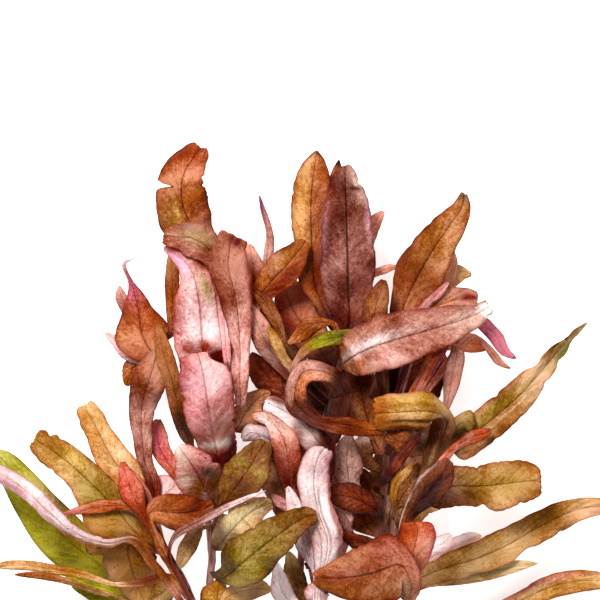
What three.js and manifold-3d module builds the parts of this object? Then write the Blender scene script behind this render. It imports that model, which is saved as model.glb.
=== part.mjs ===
// A bunch of nine cut leafy shoots of Ammannia senegalensis, lying on a surface.
// Millimetres, +Z up. +Y runs from the cut ends to the leafy tops and +X to the right.
// Each shoot is one stem with its young and narrow leaves grown to it, and each large leaf
// is a thin body of its own that meets its stem at its base.
import * as THREE from 'three';
import { mergeVertices } from 'three/addons/utils/BufferGeometryUtils.js';
import Module from 'manifold-3d';

const PIXEL = 0.3; // the length on the bunch that one pixel of the photograph shows
const ORIGIN_COLUMN = 308; // the pixel column and row that stand over the origin
const ORIGIN_ROW = 500;

const STEM_RADIUS = 1.5;
const STEM_TIP_RADIUS = 0.9;
const STEM_SIDES = 8;
const STEM_STEP = 13; // length of one stretch of a stem

const MIDRIB_THICKNESS = 0.8;
const BLADE_THICKNESS = 0.55;
const BASE_HALF_WIDTH = 0.9;
const LEAF_STEP = 9.5; // length of one stretch of a leaf
const RISE = 0.35; // how much of the rise of a leaf over the stems the laid bunch keeps
const SEAT_GAP = 0.3; // between a stem and the base of a leaf that is its own body
const LAYER_GAP = 0.5; // between a leaf and what it lies on

const CELL = 0.5; // the height map's cell
const MAP_SIZE = 520;
const SAMPLE = 0.4; // the step at which a leaf is tried on the height map

// Where the points of a blade are across it, from its left edge to its right one.
const WIDE = [-1, -0.5, 0, 0.5, 1];
const NARROW = [-1, 0, 1];

const UP = new THREE.Vector3(0, 0, 1);

// Colours of the leaves and stems, as the photograph shows them.
const COLOURS = {
  rust: 0xa8552f,
  mauve: 0x9c6b64,
  pink: 0xd9a3a4,
  white: 0xe6d5d2,
  gold: 0xb98a3c,
  olive: 0x8a7430,
  green: 0x8b9a1e,
  maroon: 0x5a2018,
  stem: 0x9a4a3a,
};

// Stems, from the cut end to the tip: pixel column, pixel row and height.
const STEMS = {
  a: [[304, 850, 1.6], [300, 720, 12], [299, 600, 24], [306, 510, 27], [320, 440, 29],
    [334, 385, 30.5], [345, 345, 31.5], [347, 312, 32]],
  b: [[297, 853, 5.2], [262, 720, 16], [214, 610, 24], [212, 560, 25], [216, 520, 27],
    [229, 478, 28], [232, 430, 29], [230, 380, 30], [227, 330, 31], [225, 300, 31]],
  c: [[283, 846, 5.2], [250, 720, 11], [196, 610, 18], [181, 577, 20], [165, 552, 21],
    [152, 528, 22], [145, 506, 22]],
  d: [[290, 848, 1.6], [268, 720, 5], [214, 605, 10], [211, 555, 13], [205, 500, 18],
    [196, 460, 21], [182, 425, 23], [175, 395, 24], [168, 360, 25], [162, 335, 25]],
  e: [[318, 852, 1.6], [340, 720, 8], [368, 610, 16], [382, 520, 20], [388, 430, 23],
    [392, 360, 25], [396, 325, 26]],
  f: [[325, 845, 5.2], [360, 720, 15], [390, 600, 22], [396, 545, 24], [408, 505, 25],
    [426, 478, 26], [442, 456, 27], [450, 438, 27]],
  g: [[332, 849, 1.6], [372, 730, 6], [404, 640, 10], [414, 595, 12], [412, 570, 13]],
  h: [[311, 855, 5.2], [312, 720, 18], [316, 620, 28], [319, 590, 30], [320, 566, 31]],
  i: [[276, 847, 1.6], [236, 740, 4], [180, 660, 6], [150, 620, 8], [136, 602, 9],
    [128, 590, 9]],
};

// Leaves that are bodies of their own. A place on the midrib is its pixel column and row,
// its height above the leaf's base in millimetres, the blade's half width in pixels and its
// roll in degrees, the right edge up where it is positive. Layers below 0 lie under the
// stems and the others over them, the higher ones on top. A positive cup lifts both edges.
const LEAVES = [
  ['leaf_a1', 'a', 7, 0.3, 'rust', [[331, 322, -1, 4, 0], [316, 290, -2, 13, 0],
    [312, 245, -2, 18, 0], [311, 200, 0, 19, 0], [314, 172, 2, 16, 0], [317, 150, 3, 1, 0]]],
  ['leaf_a2', 'a', 12, 0.2, 'mauve', [[349, 328, 2, 12, 0], [348, 295, 4, 24, 0],
    [347, 250, 7, 27, -5], [346, 205, 9, 22, 0], [345, 178, 10, 14, 0], [346, 163, 10, 2, 0]]],
  ['leaf_a3', 'a', 28, 0.15, 'pink', [[350, 358, 3, 21, 10], [375, 346, 6, 26, 8],
    [400, 338, 8, 26, 5], [425, 331, 9, 24, 0], [450, 323, 9, 18, -5], [475, 315, 7, 12, -10],
    [492, 303, 5, 2, 0]]],
  ['leaf_a4', 'a', 29, 0, 'pink', [[344, 398, 3, 8, -20], [337, 379, 6, 11, -40],
    [318, 370, 9, 11, -35], [301, 374, 10, 14, -30], [294, 391, 10, 16, -30],
    [302, 410, 9, 12, -35], [322, 422, 7, 8, -30], [345, 424, 7, 8, -20], [368, 429, 7, 7, 0],
    [386, 431, 6, 2, 0]]],
  ['leaf_a5', 'a', 26, -0.2, 'white', [[331, 468, 3, 8, 0], [322, 446, 6, 14, -10],
    [303, 425, 8, 16, -20], [283, 410, 8, 13, -20], [263, 402, 6, 3, 0]]],
  ['leaf_a6', 'a', 28, 0.1, 'rust', [[291, 487, 3, 4, 0], [289, 465, 6, 13, 15],
    [285, 442, 8, 15, 20], [272, 422, 8, 9, 20], [252, 415, 6, 4, 0]]],
  ['leaf_b1', 'b', 10, 0.1, 'rust', [[222, 272, 1, 5, 0], [203, 243, 3, 18, -30],
    [185, 213, 5, 25, -10], [182, 184, 7, 24, 10], [191, 162, 8, 18, 10], [204, 145, 8, 4, 0]]],
  ['leaf_b2', 'b', 14, 0.15, 'mauve', [[219, 272, 3, 9, 0], [208, 250, 6, 19, 20],
    [193, 238, 7, 20, 20], [176, 237, 7, 12, 20], [160, 238, 6, 3, 10]]],
  ['leaf_b3', 'b', 12, -0.15, 'pink', [[207, 398, 2, 10, 0], [204, 362, 5, 24, 0],
    [202, 330, 7, 29, 0], [199, 300, 8, 24, 5], [195, 278, 9, 18, 10], [184, 260, 8, 10, 20],
    [162, 247, 7, 1, 0]]],
  ['leaf_b4', 'b', 16, 0.25, 'mauve', [[240, 406, 3, 4, 0], [240, 375, 6, 9, -10],
    [240, 340, 8, 10, -15], [236, 300, 9, 17, -15], [228, 262, 9, 20, -10],
    [232, 242, 8, 12, 0], [236, 231, 8, 1, 0]]],
  ['leaf_b5', 'b', 22, -0.2, 'pink', [[222, 468, 3, 6, 0], [217, 450, 5, 15, 0],
    [213, 432, 6, 21, 0], [209, 408, 8, 26, 5], [205, 382, 9, 26, 5], [201, 362, 9, 20, 0],
    [197, 350, 8, 8, 0]]],
  ['leaf_b6', 'b', 8, 0.2, 'gold', [[256, 302, 1, 8, 0], [272, 280, 2, 16, 0],
    [290, 262, 3, 17, 0], [307, 240, 3, 3, 0]]],
  ['leaf_b7', 'b', 32, 0.3, 'gold', [[224, 500, 4, 9, 0], [238, 485, 7, 19, 10],
    [250, 467, 9, 21, 0], [260, 450, 9, 12, -10], [268, 440, 8, 2, 0]]],
  ['leaf_b8', 'b', 24, 0.1, 'pink', [[214, 505, 3, 6, 0], [206, 490, 5, 20, 0],
    [197, 473, 7, 23, 0], [188, 458, 8, 16, 0], [178, 445, 7, 2, 0]]],
  ['leaf_b9', 'b', 34, 0.2, 'olive', [[217, 548, 3, 8, 0], [230, 532, 6, 17, 0],
    [244, 517, 8, 17, 0], [258, 507, 8, 12, 0], [274, 502, 7, 2, 0]]],
  ['leaf_b10', 'b', 38, 0.1, 'olive', [[222, 578, 4, 9, 0], [240, 564, 7, 24, 5],
    [263, 545, 10, 23, 5], [286, 528, 11, 17, 0], [303, 517, 11, 12, 0], [319, 514, 10, 4, 0]]],
  ['leaf_c1', 'c', 20, 0.1, 'gold', [[133, 530, 2, 13, 0], [115, 508, 4, 19, -5],
    [93, 485, 5, 17, -5], [72, 466, 5, 17, 0], [52, 451, 4, 16, 0], [38, 442, 3, 12, 0],
    [30, 437, 3, 4, 0]]],
  ['leaf_c2', 'c', 19, 0.1, 'gold', [[143, 503, 2, 8, 0], [127, 478, 4, 17, 0],
    [110, 455, 5, 17, 0], [98, 432, 5, 13, 0], [89, 415, 4, 12, 0], [82, 402, 3, 5, 0]]],
  ['leaf_c3', 'c', 30, -0.15, 'rust', [[150, 520, 3, 6, 0], [165, 513, 6, 15, 0],
    [183, 512, 7, 19, 0], [200, 510, 7, 12, 0], [216, 502, 6, 2, 0]]],
  ['leaf_c4', 'c', 32, -0.2, 'white', [[132, 539, 2, 4, 0], [115, 543, 3, 4, 0],
    [95, 542, 4, 5, 20], [72, 531, 4, 7, 20], [50, 513, 4, 9, 20], [25, 491, 3, 10, 20],
    [0, 475, 2, 9, 10], [-28, 458, 1, 2, 0]]],
  ['leaf_c5', 'c', -3, 0.1, 'rust', [[134, 536, -3, 14, 0], [127, 552, -5, 26, 0],
    [132, 572, -7, 25, 0], [138, 590, -8, 17, 0], [143, 604, -8, 2, 0]]],
  ['leaf_c6', 'c', 18, 0.2, 'mauve', [[156, 497, 3, 5, 0], [150, 478, 5, 8, -20],
    [143, 455, 7, 9, -25], [141, 428, 8, 11, -15], [142, 405, 9, 14, -10], [148, 385, 9, 18, 0],
    [154, 366, 9, 14, 0], [160, 348, 8, 3, 0]]],
  ['leaf_d1', 'd', 8, 0.2, 'rust', [[157, 357, 1, 10, 0], [144, 340, 2, 27, 0],
    [140, 318, 3, 21, 10], [135, 296, 4, 9, 20], [131, 282, 5, 3, 30], [122, 270, 6, 3, 30],
    [128, 259, 6, 3, 20], [136, 258, 6, 1, 0]]],
  ['leaf_d2', 'd', 20, 0.1, 'olive', [[192, 446, 3, 7, 0], [183, 425, 5, 9, 0],
    [177, 400, 6, 8, 0], [171, 375, 7, 9, 0], [164, 352, 7, 9, 0], [158, 322, 6, 2, 0]]],
  ['leaf_d3', 'd', 17, 0.2, 'rust', [[186, 485, 2, 5, 0], [172, 468, 3, 8, -20],
    [160, 450, 4, 10, -20], [156, 430, 5, 9, -20], [157, 418, 5, 1, 0]]],
  ['leaf_e1', 'e', 9, 0.15, 'rust', [[400, 322, 1, 10, 0], [411, 290, 2, 22, -5],
    [427, 259, 4, 22, -5], [443, 235, 5, 19, 0], [458, 214, 5, 13, 0], [464, 202, 5, 6, 0],
    [465, 190, 5, 1, 0]]],
  ['leaf_e2', 'e', 11, 0.1, 'rust', [[420, 318, 1, 8, 0], [440, 305, 2, 14, 0],
    [460, 299, 2, 12, 0], [481, 299, 2, 5, 0]]],
  ['leaf_e3', 'e', 6, 0.1, 'maroon', [[370, 388, 0, 8, 0], [395, 376, 1, 17, 0],
    [420, 364, 1, 17, 0], [440, 350, 0, 3, 0]]],
  ['leaf_e4', 'e', 24, -0.15, 'maroon', [[377, 512, 3, 5, 0], [362, 502, 5, 13, 0],
    [345, 496, 6, 14, 0], [327, 496, 5, 5, 0]]],
  ['leaf_e5', 'e', 22, -0.1, 'mauve', [[352, 489, 3, 9, 0], [348, 472, 5, 13, 0],
    [347, 455, 6, 11, 0], [350, 434, 6, 3, 0]]],
  ['leaf_f1', 'f', 34, -0.5, 'olive', [[446, 420, 6, 10, 0], [430, 411, 8, 18, 0],
    [405, 411, 9, 18, 0], [384, 412, 9, 17, 0], [367, 413, 8, 10, 0]]],
  ['leaf_f2', 'f', 33, -0.3, 'olive', [[445, 445, 3, 5, 0], [452, 430, 6, 12, 10],
    [462, 421, 7, 13, 0], [471, 423, 6, 9, -20], [475, 432, 5, 2, 0]]],
  ['leaf_f3', 'f', 31, 0.15, 'gold', [[452, 455, 2, 9, 0], [470, 438, 3, 16, 0],
    [490, 421, 5, 18, 0], [514, 401, 6, 17, 0], [536, 377, 6, 12, 0], [556, 354, 5, 9, 0],
    [570, 338, 4, 5, 0], [588, 322, 3, 1, 0]]],
  ['leaf_f4', 'f', 28, 0.1, 'gold', [[432, 497, 2, 12, 0], [452, 487, 3, 20, 0],
    [472, 487, 4, 19, 0], [497, 485, 5, 24, 0], [520, 482, 5, 21, 0], [536, 481, 4, 16, 0],
    [544, 482, 4, 8, 0]]],
  ['leaf_f5', 'f', 38, 0.2, 'maroon', [[405, 518, 4, 5, 0], [418, 502, 6, 13, 20],
    [433, 484, 7, 16, 20], [445, 468, 7, 11, 10], [450, 457, 6, 2, 0]]],
  ['leaf_g1', 'g', 41, -0.2, 'rust', [[411, 562, 4, 11, 0], [414, 548, 6, 20, 0],
    [417, 533, 7, 19, 0], [415, 522, 7, 10, 0], [411, 517, 6, 2, 0]]],
  ['leaf_g2', 'g', 38, 0.15, 'gold', [[402, 588, 3, 6, 0], [425, 577, 4, 10, 0],
    [455, 566, 5, 15, 0], [490, 556, 6, 17, 0], [520, 540, 6, 17, 0], [550, 523, 5, 15, 0],
    [580, 511, 4, 11, 0], [605, 508, 3, 9, 0], [632, 514, 2, 1, 0]]],
  ['leaf_g3', 'g', 30, 0.1, 'olive', [[425, 585, 1, 5, 0], [455, 580, 2, 7, 0],
    [490, 574, 2, 8, 0], [515, 568, 2, 6, 0], [540, 565, 2, 1, 0]]],
  ['leaf_g4', 'g', 42, -0.1, 'mauve', [[410, 570, 4, 14, 0], [394, 564, 5, 32, 0],
    [367, 573, 6, 29, 0], [340, 577, 6, 21, 0], [320, 577, 5, 9, 0], [310, 577, 5, 2, 0]]],
  ['leaf_g5', 'g', -6, 0.1, 'gold', [[440, 640, -2, 5, 0], [480, 622, -4, 7, 0],
    [520, 605, -5, 9, 0], [550, 591, -5, 12, 0], [580, 584, -5, 11, 0], [610, 584, -6, 8, 0],
    [645, 590, -7, 1, 0]]],
  ['leaf_h1', 'h', 36, -0.1, 'white', [[324, 562, 2, 10, 0], [328, 546, 4, 16, 0],
    [323, 524, 6, 14, 0], [315, 500, 8, 16, 0], [314, 478, 9, 17, 0], [317, 460, 9, 14, 0],
    [327, 445, 9, 3, 0]]],
  ['leaf_i1', 'i', -10, 0.1, 'green', [[120, 590, -1, 8, 0], [97, 568, -3, 19, 0],
    [70, 548, -4, 24, 0], [45, 523, -5, 24, 0], [22, 492, -6, 18, 0], [5, 468, -6, 14, 0],
    [-12, 452, -6, 2, 0]]],
  // Leaves of the hidden side, pressed on the surface, and of the lower stems.
  ['leaf_under1', 'a', -12, 0.05, 'maroon', [[316, 470, -6, 9, 0], [297, 430, -17, 16, 0],
    [278, 390, -26, 15, 0], [264, 345, -31, 2, 0]]],
  ['leaf_under2', 'e', -17, 0.05, 'rust', [[396, 440, -2, 8, 0], [412, 406, -4, 21, 0],
    [427, 372, -5, 19, 0], [442, 330, -5, 2, 0]]],
  ['leaf_under3', 'b', -14, 0.05, 'rust', [[226, 470, -6, 9, 0], [216, 425, -17, 16, 0],
    [208, 370, -26, 15, 0], [205, 310, -32, 2, 0]]],
  ['leaf_under4', 'f', -15, 0.05, 'olive', [[402, 525, -7, 9, 0], [422, 505, -16, 14, 0],
    [450, 492, -23, 14, 0], [490, 487, -28, 2, 0]]],
  ['leaf_under5', 'a', -16, 0.05, 'maroon', [[326, 555, -7, 9, 0], [334, 520, -16, 16, 0],
    [345, 480, -24, 15, 0], [352, 435, -29, 2, 0]]],
  ['leaf_low1', 'h', 46, 0.2, 'olive', [[306, 700, 3, 5, 0], [285, 682, 7, 13, 0],
    [256, 664, 9, 14, 0], [222, 650, 8, 2, 0]]],
  ['leaf_low2', 'g', 47, 0.2, 'olive', [[388, 690, 2, 5, 0], [408, 674, 3, 13, 0],
    [436, 662, 3, 13, 0], [472, 656, 0, 2, 0]]],
  ['leaf_low3', 'i', -11, 0.1, 'green', [[206, 696, -1, 5, 0], [182, 690, -2, 13, 0],
    [152, 692, -4, 13, 0], [116, 702, -5, 2, 0]]],
  ['leaf_low4', 'e', 45, 0.2, 'green', [[352, 705, 4, 5, 0], [362, 680, 8, 13, 0],
    [366, 650, 10, 13, 0], [362, 618, 9, 2, 0]]],
];

// Young and narrow leaves, grown to their stem and of one body with it: the stem, the
// layer, the cup and the places on the midrib, as above.
const YOUNG_LEAVES = [
  ['a', 5, 0.1, [[343, 300, -3, 6, 0], [334, 250, -5, 14, 0], [334, 200, -4, 13, 0],
    [339, 159, -3, 1, 0]]],
  ['a', 16, -0.2, [[333, 322, 2, 4, 0], [318, 322, 3, 8, 0], [302, 333, 3, 8, 0],
    [287, 344, 2, 2, 0]]],
  ['a', 13, 0.1, [[288, 375, -1, 5, 0], [273, 352, 1, 11, 10], [260, 330, 3, 12, 10],
    [251, 303, 4, 2, 0]]],
  ['a', 14, 0, [[290, 350, 0, 3, 0], [277, 322, 2, 6, 0], [264, 300, 3, 7, 0],
    [252, 289, 3, 2, 0]]],
  ['a', 27, -0.2, [[284, 456, 3, 5, 0], [270, 440, 5, 11, 0], [255, 432, 6, 12, 0],
    [241, 440, 4, 2, 0]]],
  ['a', 15, 0, [[284, 358, 2, 5, 0], [278, 345, 3, 7, 0], [268, 325, 3, 1, 0]]],
  ['a', 4, 0.1, [[352, 290, -3, 4, 0], [362, 250, -5, 9, 0], [371, 228, -6, 9, 0],
    [384, 210, -6, 1, 0]]],
  ['a', 6, 0, [[358, 292, -3, 3, 0], [372, 274, -4, 4, 0], [386, 269, -4, 4, 0],
    [401, 266, -4, 1, 0]]],
  ['a', 3, 0, [[285, 395, -3, 5, 0], [266, 375, -2, 12, 0], [250, 352, -1, 3, 0]]],
  ['b', 5, 0.1, [[247, 305, -1, 5, 0], [254, 285, -1, 11, 0], [252, 262, 0, 10, 0],
    [249, 243, 0, 1, 0]]],
  ['b', 3, 0, [[252, 292, -2, 2, 0], [266, 262, -2, 4, 0], [270, 242, -1, 5, 30],
    [265, 220, 0, 2, 50], [262, 205, 1, 3, 20], [259, 194, 1, 1, 0]]],
  ['b', 15, 0, [[237, 428, 1, 6, 0], [246, 412, 2, 14, 0], [258, 398, 3, 10, 0],
    [271, 392, 3, 1, 0]]],
  ['b', 6, 0, [[203, 525, -2, 4, 0], [192, 540, -3, 8, 0], [184, 555, -3, 8, 0],
    [178, 570, -4, 1, 0]]],
  ['b', 30, 0, [[219, 612, 3, 6, 0], [217, 598, 4, 13, 0], [222, 575, 5, 1, 0]]],
  ['b', 33, 0, [[225, 600, 3, 6, 0], [240, 592, 5, 11, 0], [258, 588, 5, 10, 0],
    [272, 590, 4, 1, 0]]],
  ['c', -5, 0, [[128, 540, -1, 6, 0], [108, 545, -2, 11, 0], [95, 552, -3, 8, 0],
    [84, 541, -3, 1, 0]]],
  ['c', 26, 0.2, [[143, 513, 3, 4, 0], [135, 498, 5, 12, 0], [128, 480, 6, 10, 0],
    [122, 460, 6, 1, 0]]],
  ['c', 31, 0, [[172, 577, 2, 4, 0], [148, 580, 3, 5, 0], [122, 586, 3, 2, 0],
    [90, 577, 3, 4, 0], [50, 570, 3, 5, 0], [15, 566, 2, 5, 0], [-12, 569, 1, 1, 0]]],
  ['c', 24, 0, [[141, 515, 3, 3, 0], [120, 505, 4, 6, 0], [92, 508, 5, 6, 0],
    [61, 514, 4, 1, 0]]],
  ['c', 25, 0, [[147, 510, 3, 3, 0], [146, 498, 4, 6, 0], [144, 487, 4, 1, 0]]],
  ['c', 22, 0, [[150, 500, 2, 3, 0], [139, 483, 3, 5, 0], [126, 466, 3, 1, 0]]],
  ['c', 9, 0, [[154, 506, 1, 5, 0], [164, 496, 2, 10, 0], [174, 487, 2, 10, 0],
    [187, 477, 1, 1, 0]]],
  ['c', 36, 0, [[166, 545, 4, 2, 0], [180, 532, 7, 4, 0], [205, 518, 9, 4, 0],
    [235, 502, 10, 3, 0], [267, 489, 9, 1, 0]]],
  ['c', 10, 0, [[176, 582, 1, 5, 0], [163, 593, 1, 12, 0], [147, 603, 1, 1, 0]]],
  ['d', 5, 0, [[171, 335, -1, 4, 0], [172, 300, 0, 7, 0], [172, 270, 0, 7, 0],
    [171, 250, 0, 1, 0]]],
  ['d', 2, 0, [[152, 362, -1, 4, 0], [138, 362, -2, 9, 0], [130, 374, -3, 9, 0],
    [126, 387, -4, 1, 0]]],
  ['d', 1, 0, [[150, 345, -2, 2, 0], [132, 320, -3, 4, 0], [123, 303, -3, 7, 0],
    [118, 285, -3, 1, 0]]],
  ['d', 3, 0, [[140, 362, 0, 3, 0], [125, 352, 0, 7, 0], [115, 341, 0, 5, 0],
    [104, 333, 0, 1, 0]]],
  ['e', 7, 0.1, [[418, 312, 0, 8, 0], [433, 290, 0, 16, 0], [446, 268, 1, 13, 0],
    [452, 247, 1, 1, 0]]],
  ['e', 5, 0, [[430, 302, -2, 4, 0], [448, 283, -2, 9, 0], [460, 272, -2, 9, 0],
    [473, 274, -2, 1, 0]]],
  ['e', 13, 0, [[422, 312, 3, 4, 0], [435, 297, 3, 5, 0], [449, 281, 3, 1, 0]]],
  ['e', 17, 0, [[371, 342, 1, 5, 0], [346, 336, 3, 7, 0], [328, 340, 4, 9, 0],
    [312, 345, 4, 6, -20], [299, 356, 4, 5, -30], [290, 374, 3, 1, -30]]],
  ['e', 12, 0, [[376, 330, 2, 10, 0], [375, 308, 3, 13, 0], [381, 290, 3, 8, 0],
    [384, 278, 3, 1, 0]]],
  ['e', 20, 0, [[455, 328, 2, 5, 0], [478, 323, 3, 5, 10], [492, 332, 4, 8, 20],
    [501, 344, 4, 7, 30], [507, 355, 3, 4, 20], [518, 360, 3, 1, 0]]],
  ['e', 19, 0, [[470, 336, 1, 4, 0], [484, 344, 2, 3, 0], [497, 356, 2, 3, 0],
    [503, 369, 1, 5, 0], [513, 370, 1, 1, 0]]],
  ['e', 18, 0, [[440, 345, 2, 5, 0], [458, 346, 2, 10, 0], [475, 344, 2, 9, 0],
    [491, 348, 1, 1, 0]]],
  ['e', 21, 0, [[446, 340, 3, 4, 0], [456, 352, 3, 7, 0], [452, 375, 2, 9, 0],
    [449, 395, 1, 6, 0], [444, 415, 0, 1, 0]]],
  ['e', 7, 0, [[438, 342, 1, 5, 0], [438, 362, 1, 11, 0], [432, 380, 0, 8, 0],
    [428, 395, 0, 1, 0]]],
  ['e', 23, 0, [[380, 545, 3, 4, 0], [362, 543, 4, 8, 0], [347, 536, 4, 5, 0],
    [336, 527, 4, 1, 0]]],
  ['e', 21, 0, [[366, 462, 2, 5, 0], [363, 448, 3, 9, 0], [367, 433, 3, 2, 0]]],
  ['e', 29, 0, [[376, 492, 3, 3, 0], [390, 472, 5, 5, 0], [405, 450, 6, 5, 0],
    [421, 431, 6, 1, 0]]],
  ['e', 20, 0, [[352, 541, 2, 4, 0], [343, 528, 3, 11, 0], [335, 509, 3, 2, 0]]],
  ['f', 36, 0, [[447, 452, 5, 5, 0], [463, 443, 6, 8, 0], [478, 435, 6, 7, 0],
    [493, 430, 6, 1, 0]]],
  ['f', 30, 0, [[393, 512, 2, 5, 0], [404, 495, 3, 9, 0], [413, 478, 4, 8, 0],
    [419, 462, 4, 1, 0]]],
  ['f', 31, 0, [[392, 492, 3, 3, 0], [400, 478, 4, 6, 0], [413, 462, 4, 1, 0]]],
  ['f', 27, -0.1, [[440, 452, 2, 5, 0], [425, 446, 4, 11, 0], [405, 442, 5, 13, 0],
    [383, 435, 5, 4, 0]]],
  ['f', 29, 0, [[418, 500, 3, 4, 0], [425, 482, 4, 7, 0], [433, 463, 5, 2, 0]]],
  ['g', 37, -0.1, [[425, 560, 3, 5, 0], [436, 550, 4, 9, 0], [446, 543, 5, 8, 0],
    [453, 535, 4, 1, 0]]],
  ['g', 33, 0, [[430, 566, 2, 4, 0], [452, 551, 3, 8, 0], [466, 542, 3, 9, 0],
    [484, 538, 2, 1, 0]]],
  ['h', 35, 0, [[316, 572, 2, 4, 0], [308, 555, 4, 8, 0], [301, 530, 5, 9, 0],
    [294, 505, 6, 8, 0], [287, 485, 6, 2, 0]]],
  ['h', 31, 0, [[300, 612, 1, 5, 0], [284, 595, 2, 11, 0], [279, 578, 3, 8, 0],
    [277, 562, 3, 1, 0]]],
  ['h', 34, 0, [[317, 606, 2, 5, 0], [317, 592, 3, 13, 0], [323, 581, 3, 1, 0]]],
  ['h', 20, 0, [[306, 612, 0, 4, 0], [298, 590, 1, 11, 0], [292, 565, 1, 8, 0],
    [288, 551, 1, 1, 0]]],
  ['h', 33, 0, [[300, 521, 3, 4, 0], [286, 508, 4, 7, 0], [269, 492, 4, 1, 0]]],
  ['i', -8, 0, [[128, 606, -1, 4, 0], [108, 592, -2, 9, 0], [85, 585, -3, 8, 0],
    [57, 573, -4, 1, 0]]],
  ['i', -4, 0, [[122, 602, 0, 2, 0], [95, 594, -1, 3, 0], [60, 582, -1, 3, 0],
    [35, 578, -1, 4, 0], [10, 577, -1, 1, 0]]],
  ['i', -9, 0, [[125, 616, -2, 4, 0], [100, 602, -3, 8, 0], [69, 589, -4, 1, 0]]],
  // Shaded leaves deep in the bunch, behind the stems, which fill it between the others.
  ['a', -1, 0, [[336, 372, -2, 8, 0], [312, 338, -3, 18, 0], [291, 306, -4, 17, 0],
    [280, 266, -4, 1, 0]]],
  ['a', -2, 0, [[316, 410, -2, 8, 0], [296, 375, -4, 17, 0], [276, 338, -5, 15, 0],
    [262, 300, -5, 2, 0]]],
  ['a', -3, 0, [[320, 450, -2, 10, 0], [328, 412, -5, 22, 0], [326, 370, -6, 20, 0],
    [322, 326, -6, 2, 0]]],
  ['e', -18, 0, [[380, 452, -2, 8, 0], [368, 420, -4, 17, 0], [360, 382, -6, 17, 0],
    [358, 340, -6, 2, 0]]],
  ['e', -21, 0, [[392, 552, -2, 8, 0], [387, 515, -4, 16, 0], [386, 472, -6, 16, 0],
    [392, 430, -6, 2, 0]]],
  ['e', -20, 0, [[380, 566, -2, 8, 0], [368, 536, -4, 15, 0], [362, 502, -6, 14, 0],
    [362, 468, -6, 2, 0]]],
  ['e', -19, 0, [[394, 492, -2, 7, 0], [405, 465, -4, 16, 0], [416, 432, -5, 15, 0],
    [430, 400, -5, 2, 0]]],
  ['a', -4, 0, [[300, 536, -2, 7, 0], [286, 498, -4, 18, 0], [272, 457, -5, 17, 0],
    [262, 415, -5, 2, 0]]],
  ['h', -1, 0, [[324, 580, -2, 6, 0], [334, 545, -4, 14, 0], [340, 500, -6, 14, 0],
    [342, 460, -6, 2, 0]]],
];

function place(column, row, height) {
  return new THREE.Vector3(
    (column - ORIGIN_COLUMN) * PIXEL, (ORIGIN_ROW - row) * PIXEL, height);
}

function curveThrough(points) {
  return new THREE.CatmullRomCurve3(points, false, 'catmullrom', 0.5);
}

// The heights of what has been laid so far, and whose they are.
const heights = new Float32Array(MAP_SIZE * MAP_SIZE).fill(-1000);
const owners = new Array(MAP_SIZE * MAP_SIZE).fill('');

function cellAt(x, y) {
  const column = Math.round(x / CELL) + MAP_SIZE / 2;
  const row = Math.round(y / CELL) + MAP_SIZE / 2;
  return row * MAP_SIZE + column;
}

function raise(point, top, owner) {
  const middle = cellAt(point.x, point.y);
  for (const cell of [middle, middle - 1, middle + 1, middle - MAP_SIZE, middle + MAP_SIZE]) {
    if (heights[cell] < top) {
      heights[cell] = top;
      owners[cell] = owner;
    }
  }
}

// A closed body from a start point through rings of equal size to an end point. Each ring
// runs right, up, left and down, as seen along the body.
function loft(start, rings, end) {
  const sides = rings[0].length;
  const points = [start, ...rings.flat(), end];
  const last = points.length - 1;
  const triangles = [];
  const at = (ring, side) => 1 + ring * sides + (side % sides);
  for (let side = 0; side < sides; side += 1) {
    triangles.push(0, at(0, side), at(0, side + 1));
    for (let ring = 0; ring + 1 < rings.length; ring += 1) {
      const a = at(ring, side);
      const b = at(ring, side + 1);
      const c = at(ring + 1, side);
      const d = at(ring + 1, side + 1);
      triangles.push(a, c, b, c, d, b);
    }
    triangles.push(last, at(rings.length - 1, side + 1), at(rings.length - 1, side));
  }
  const geometry = new THREE.BufferGeometry().setFromPoints(points);
  geometry.setIndex(triangles);
  return geometry;
}

function stemBody(stem) {
  const count = Math.round(stem.curve.getLength() / STEM_STEP);
  const rings = [];
  for (let step = 0; step <= count; step += 1) {
    const u = step / (count + 0.4);
    const middle = stem.curve.getPointAt(u);
    const along = stem.curve.getTangentAt(u);
    const right = along.clone().cross(UP).normalize();
    const over = right.clone().cross(along);
    const radius = stemRadius(u);
    const ring = [];
    for (let side = 0; side < STEM_SIDES; side += 1) {
      const turn = (2 * Math.PI * side) / STEM_SIDES;
      ring.push(middle.clone().addScaledVector(right, radius * Math.cos(turn))
        .addScaledVector(over, radius * Math.sin(turn)));
    }
    rings.push(ring);
  }
  return loft(stem.curve.getPointAt(0), rings, stem.curve.getPointAt(1));
}

function stemRadius(u) {
  return THREE.MathUtils.lerp(STEM_RADIUS, STEM_TIP_RADIUS, u);
}

// Puts a stem on the height map.
function layStem(name, stem) {
  const length = stem.curve.getLength();
  for (let along = 0; along <= length; along += SAMPLE) {
    const u = along / length;
    const middle = stem.curve.getPointAt(u);
    const radius = stemRadius(u);
    const right = stem.curve.getTangentAt(u).cross(UP).normalize();
    for (let side = -radius; side <= radius; side += SAMPLE) {
      const rise = Math.sqrt(radius * radius - side * side);
      raise(middle.clone().addScaledVector(right, side), middle.z + rise, name);
    }
  }
}

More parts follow.
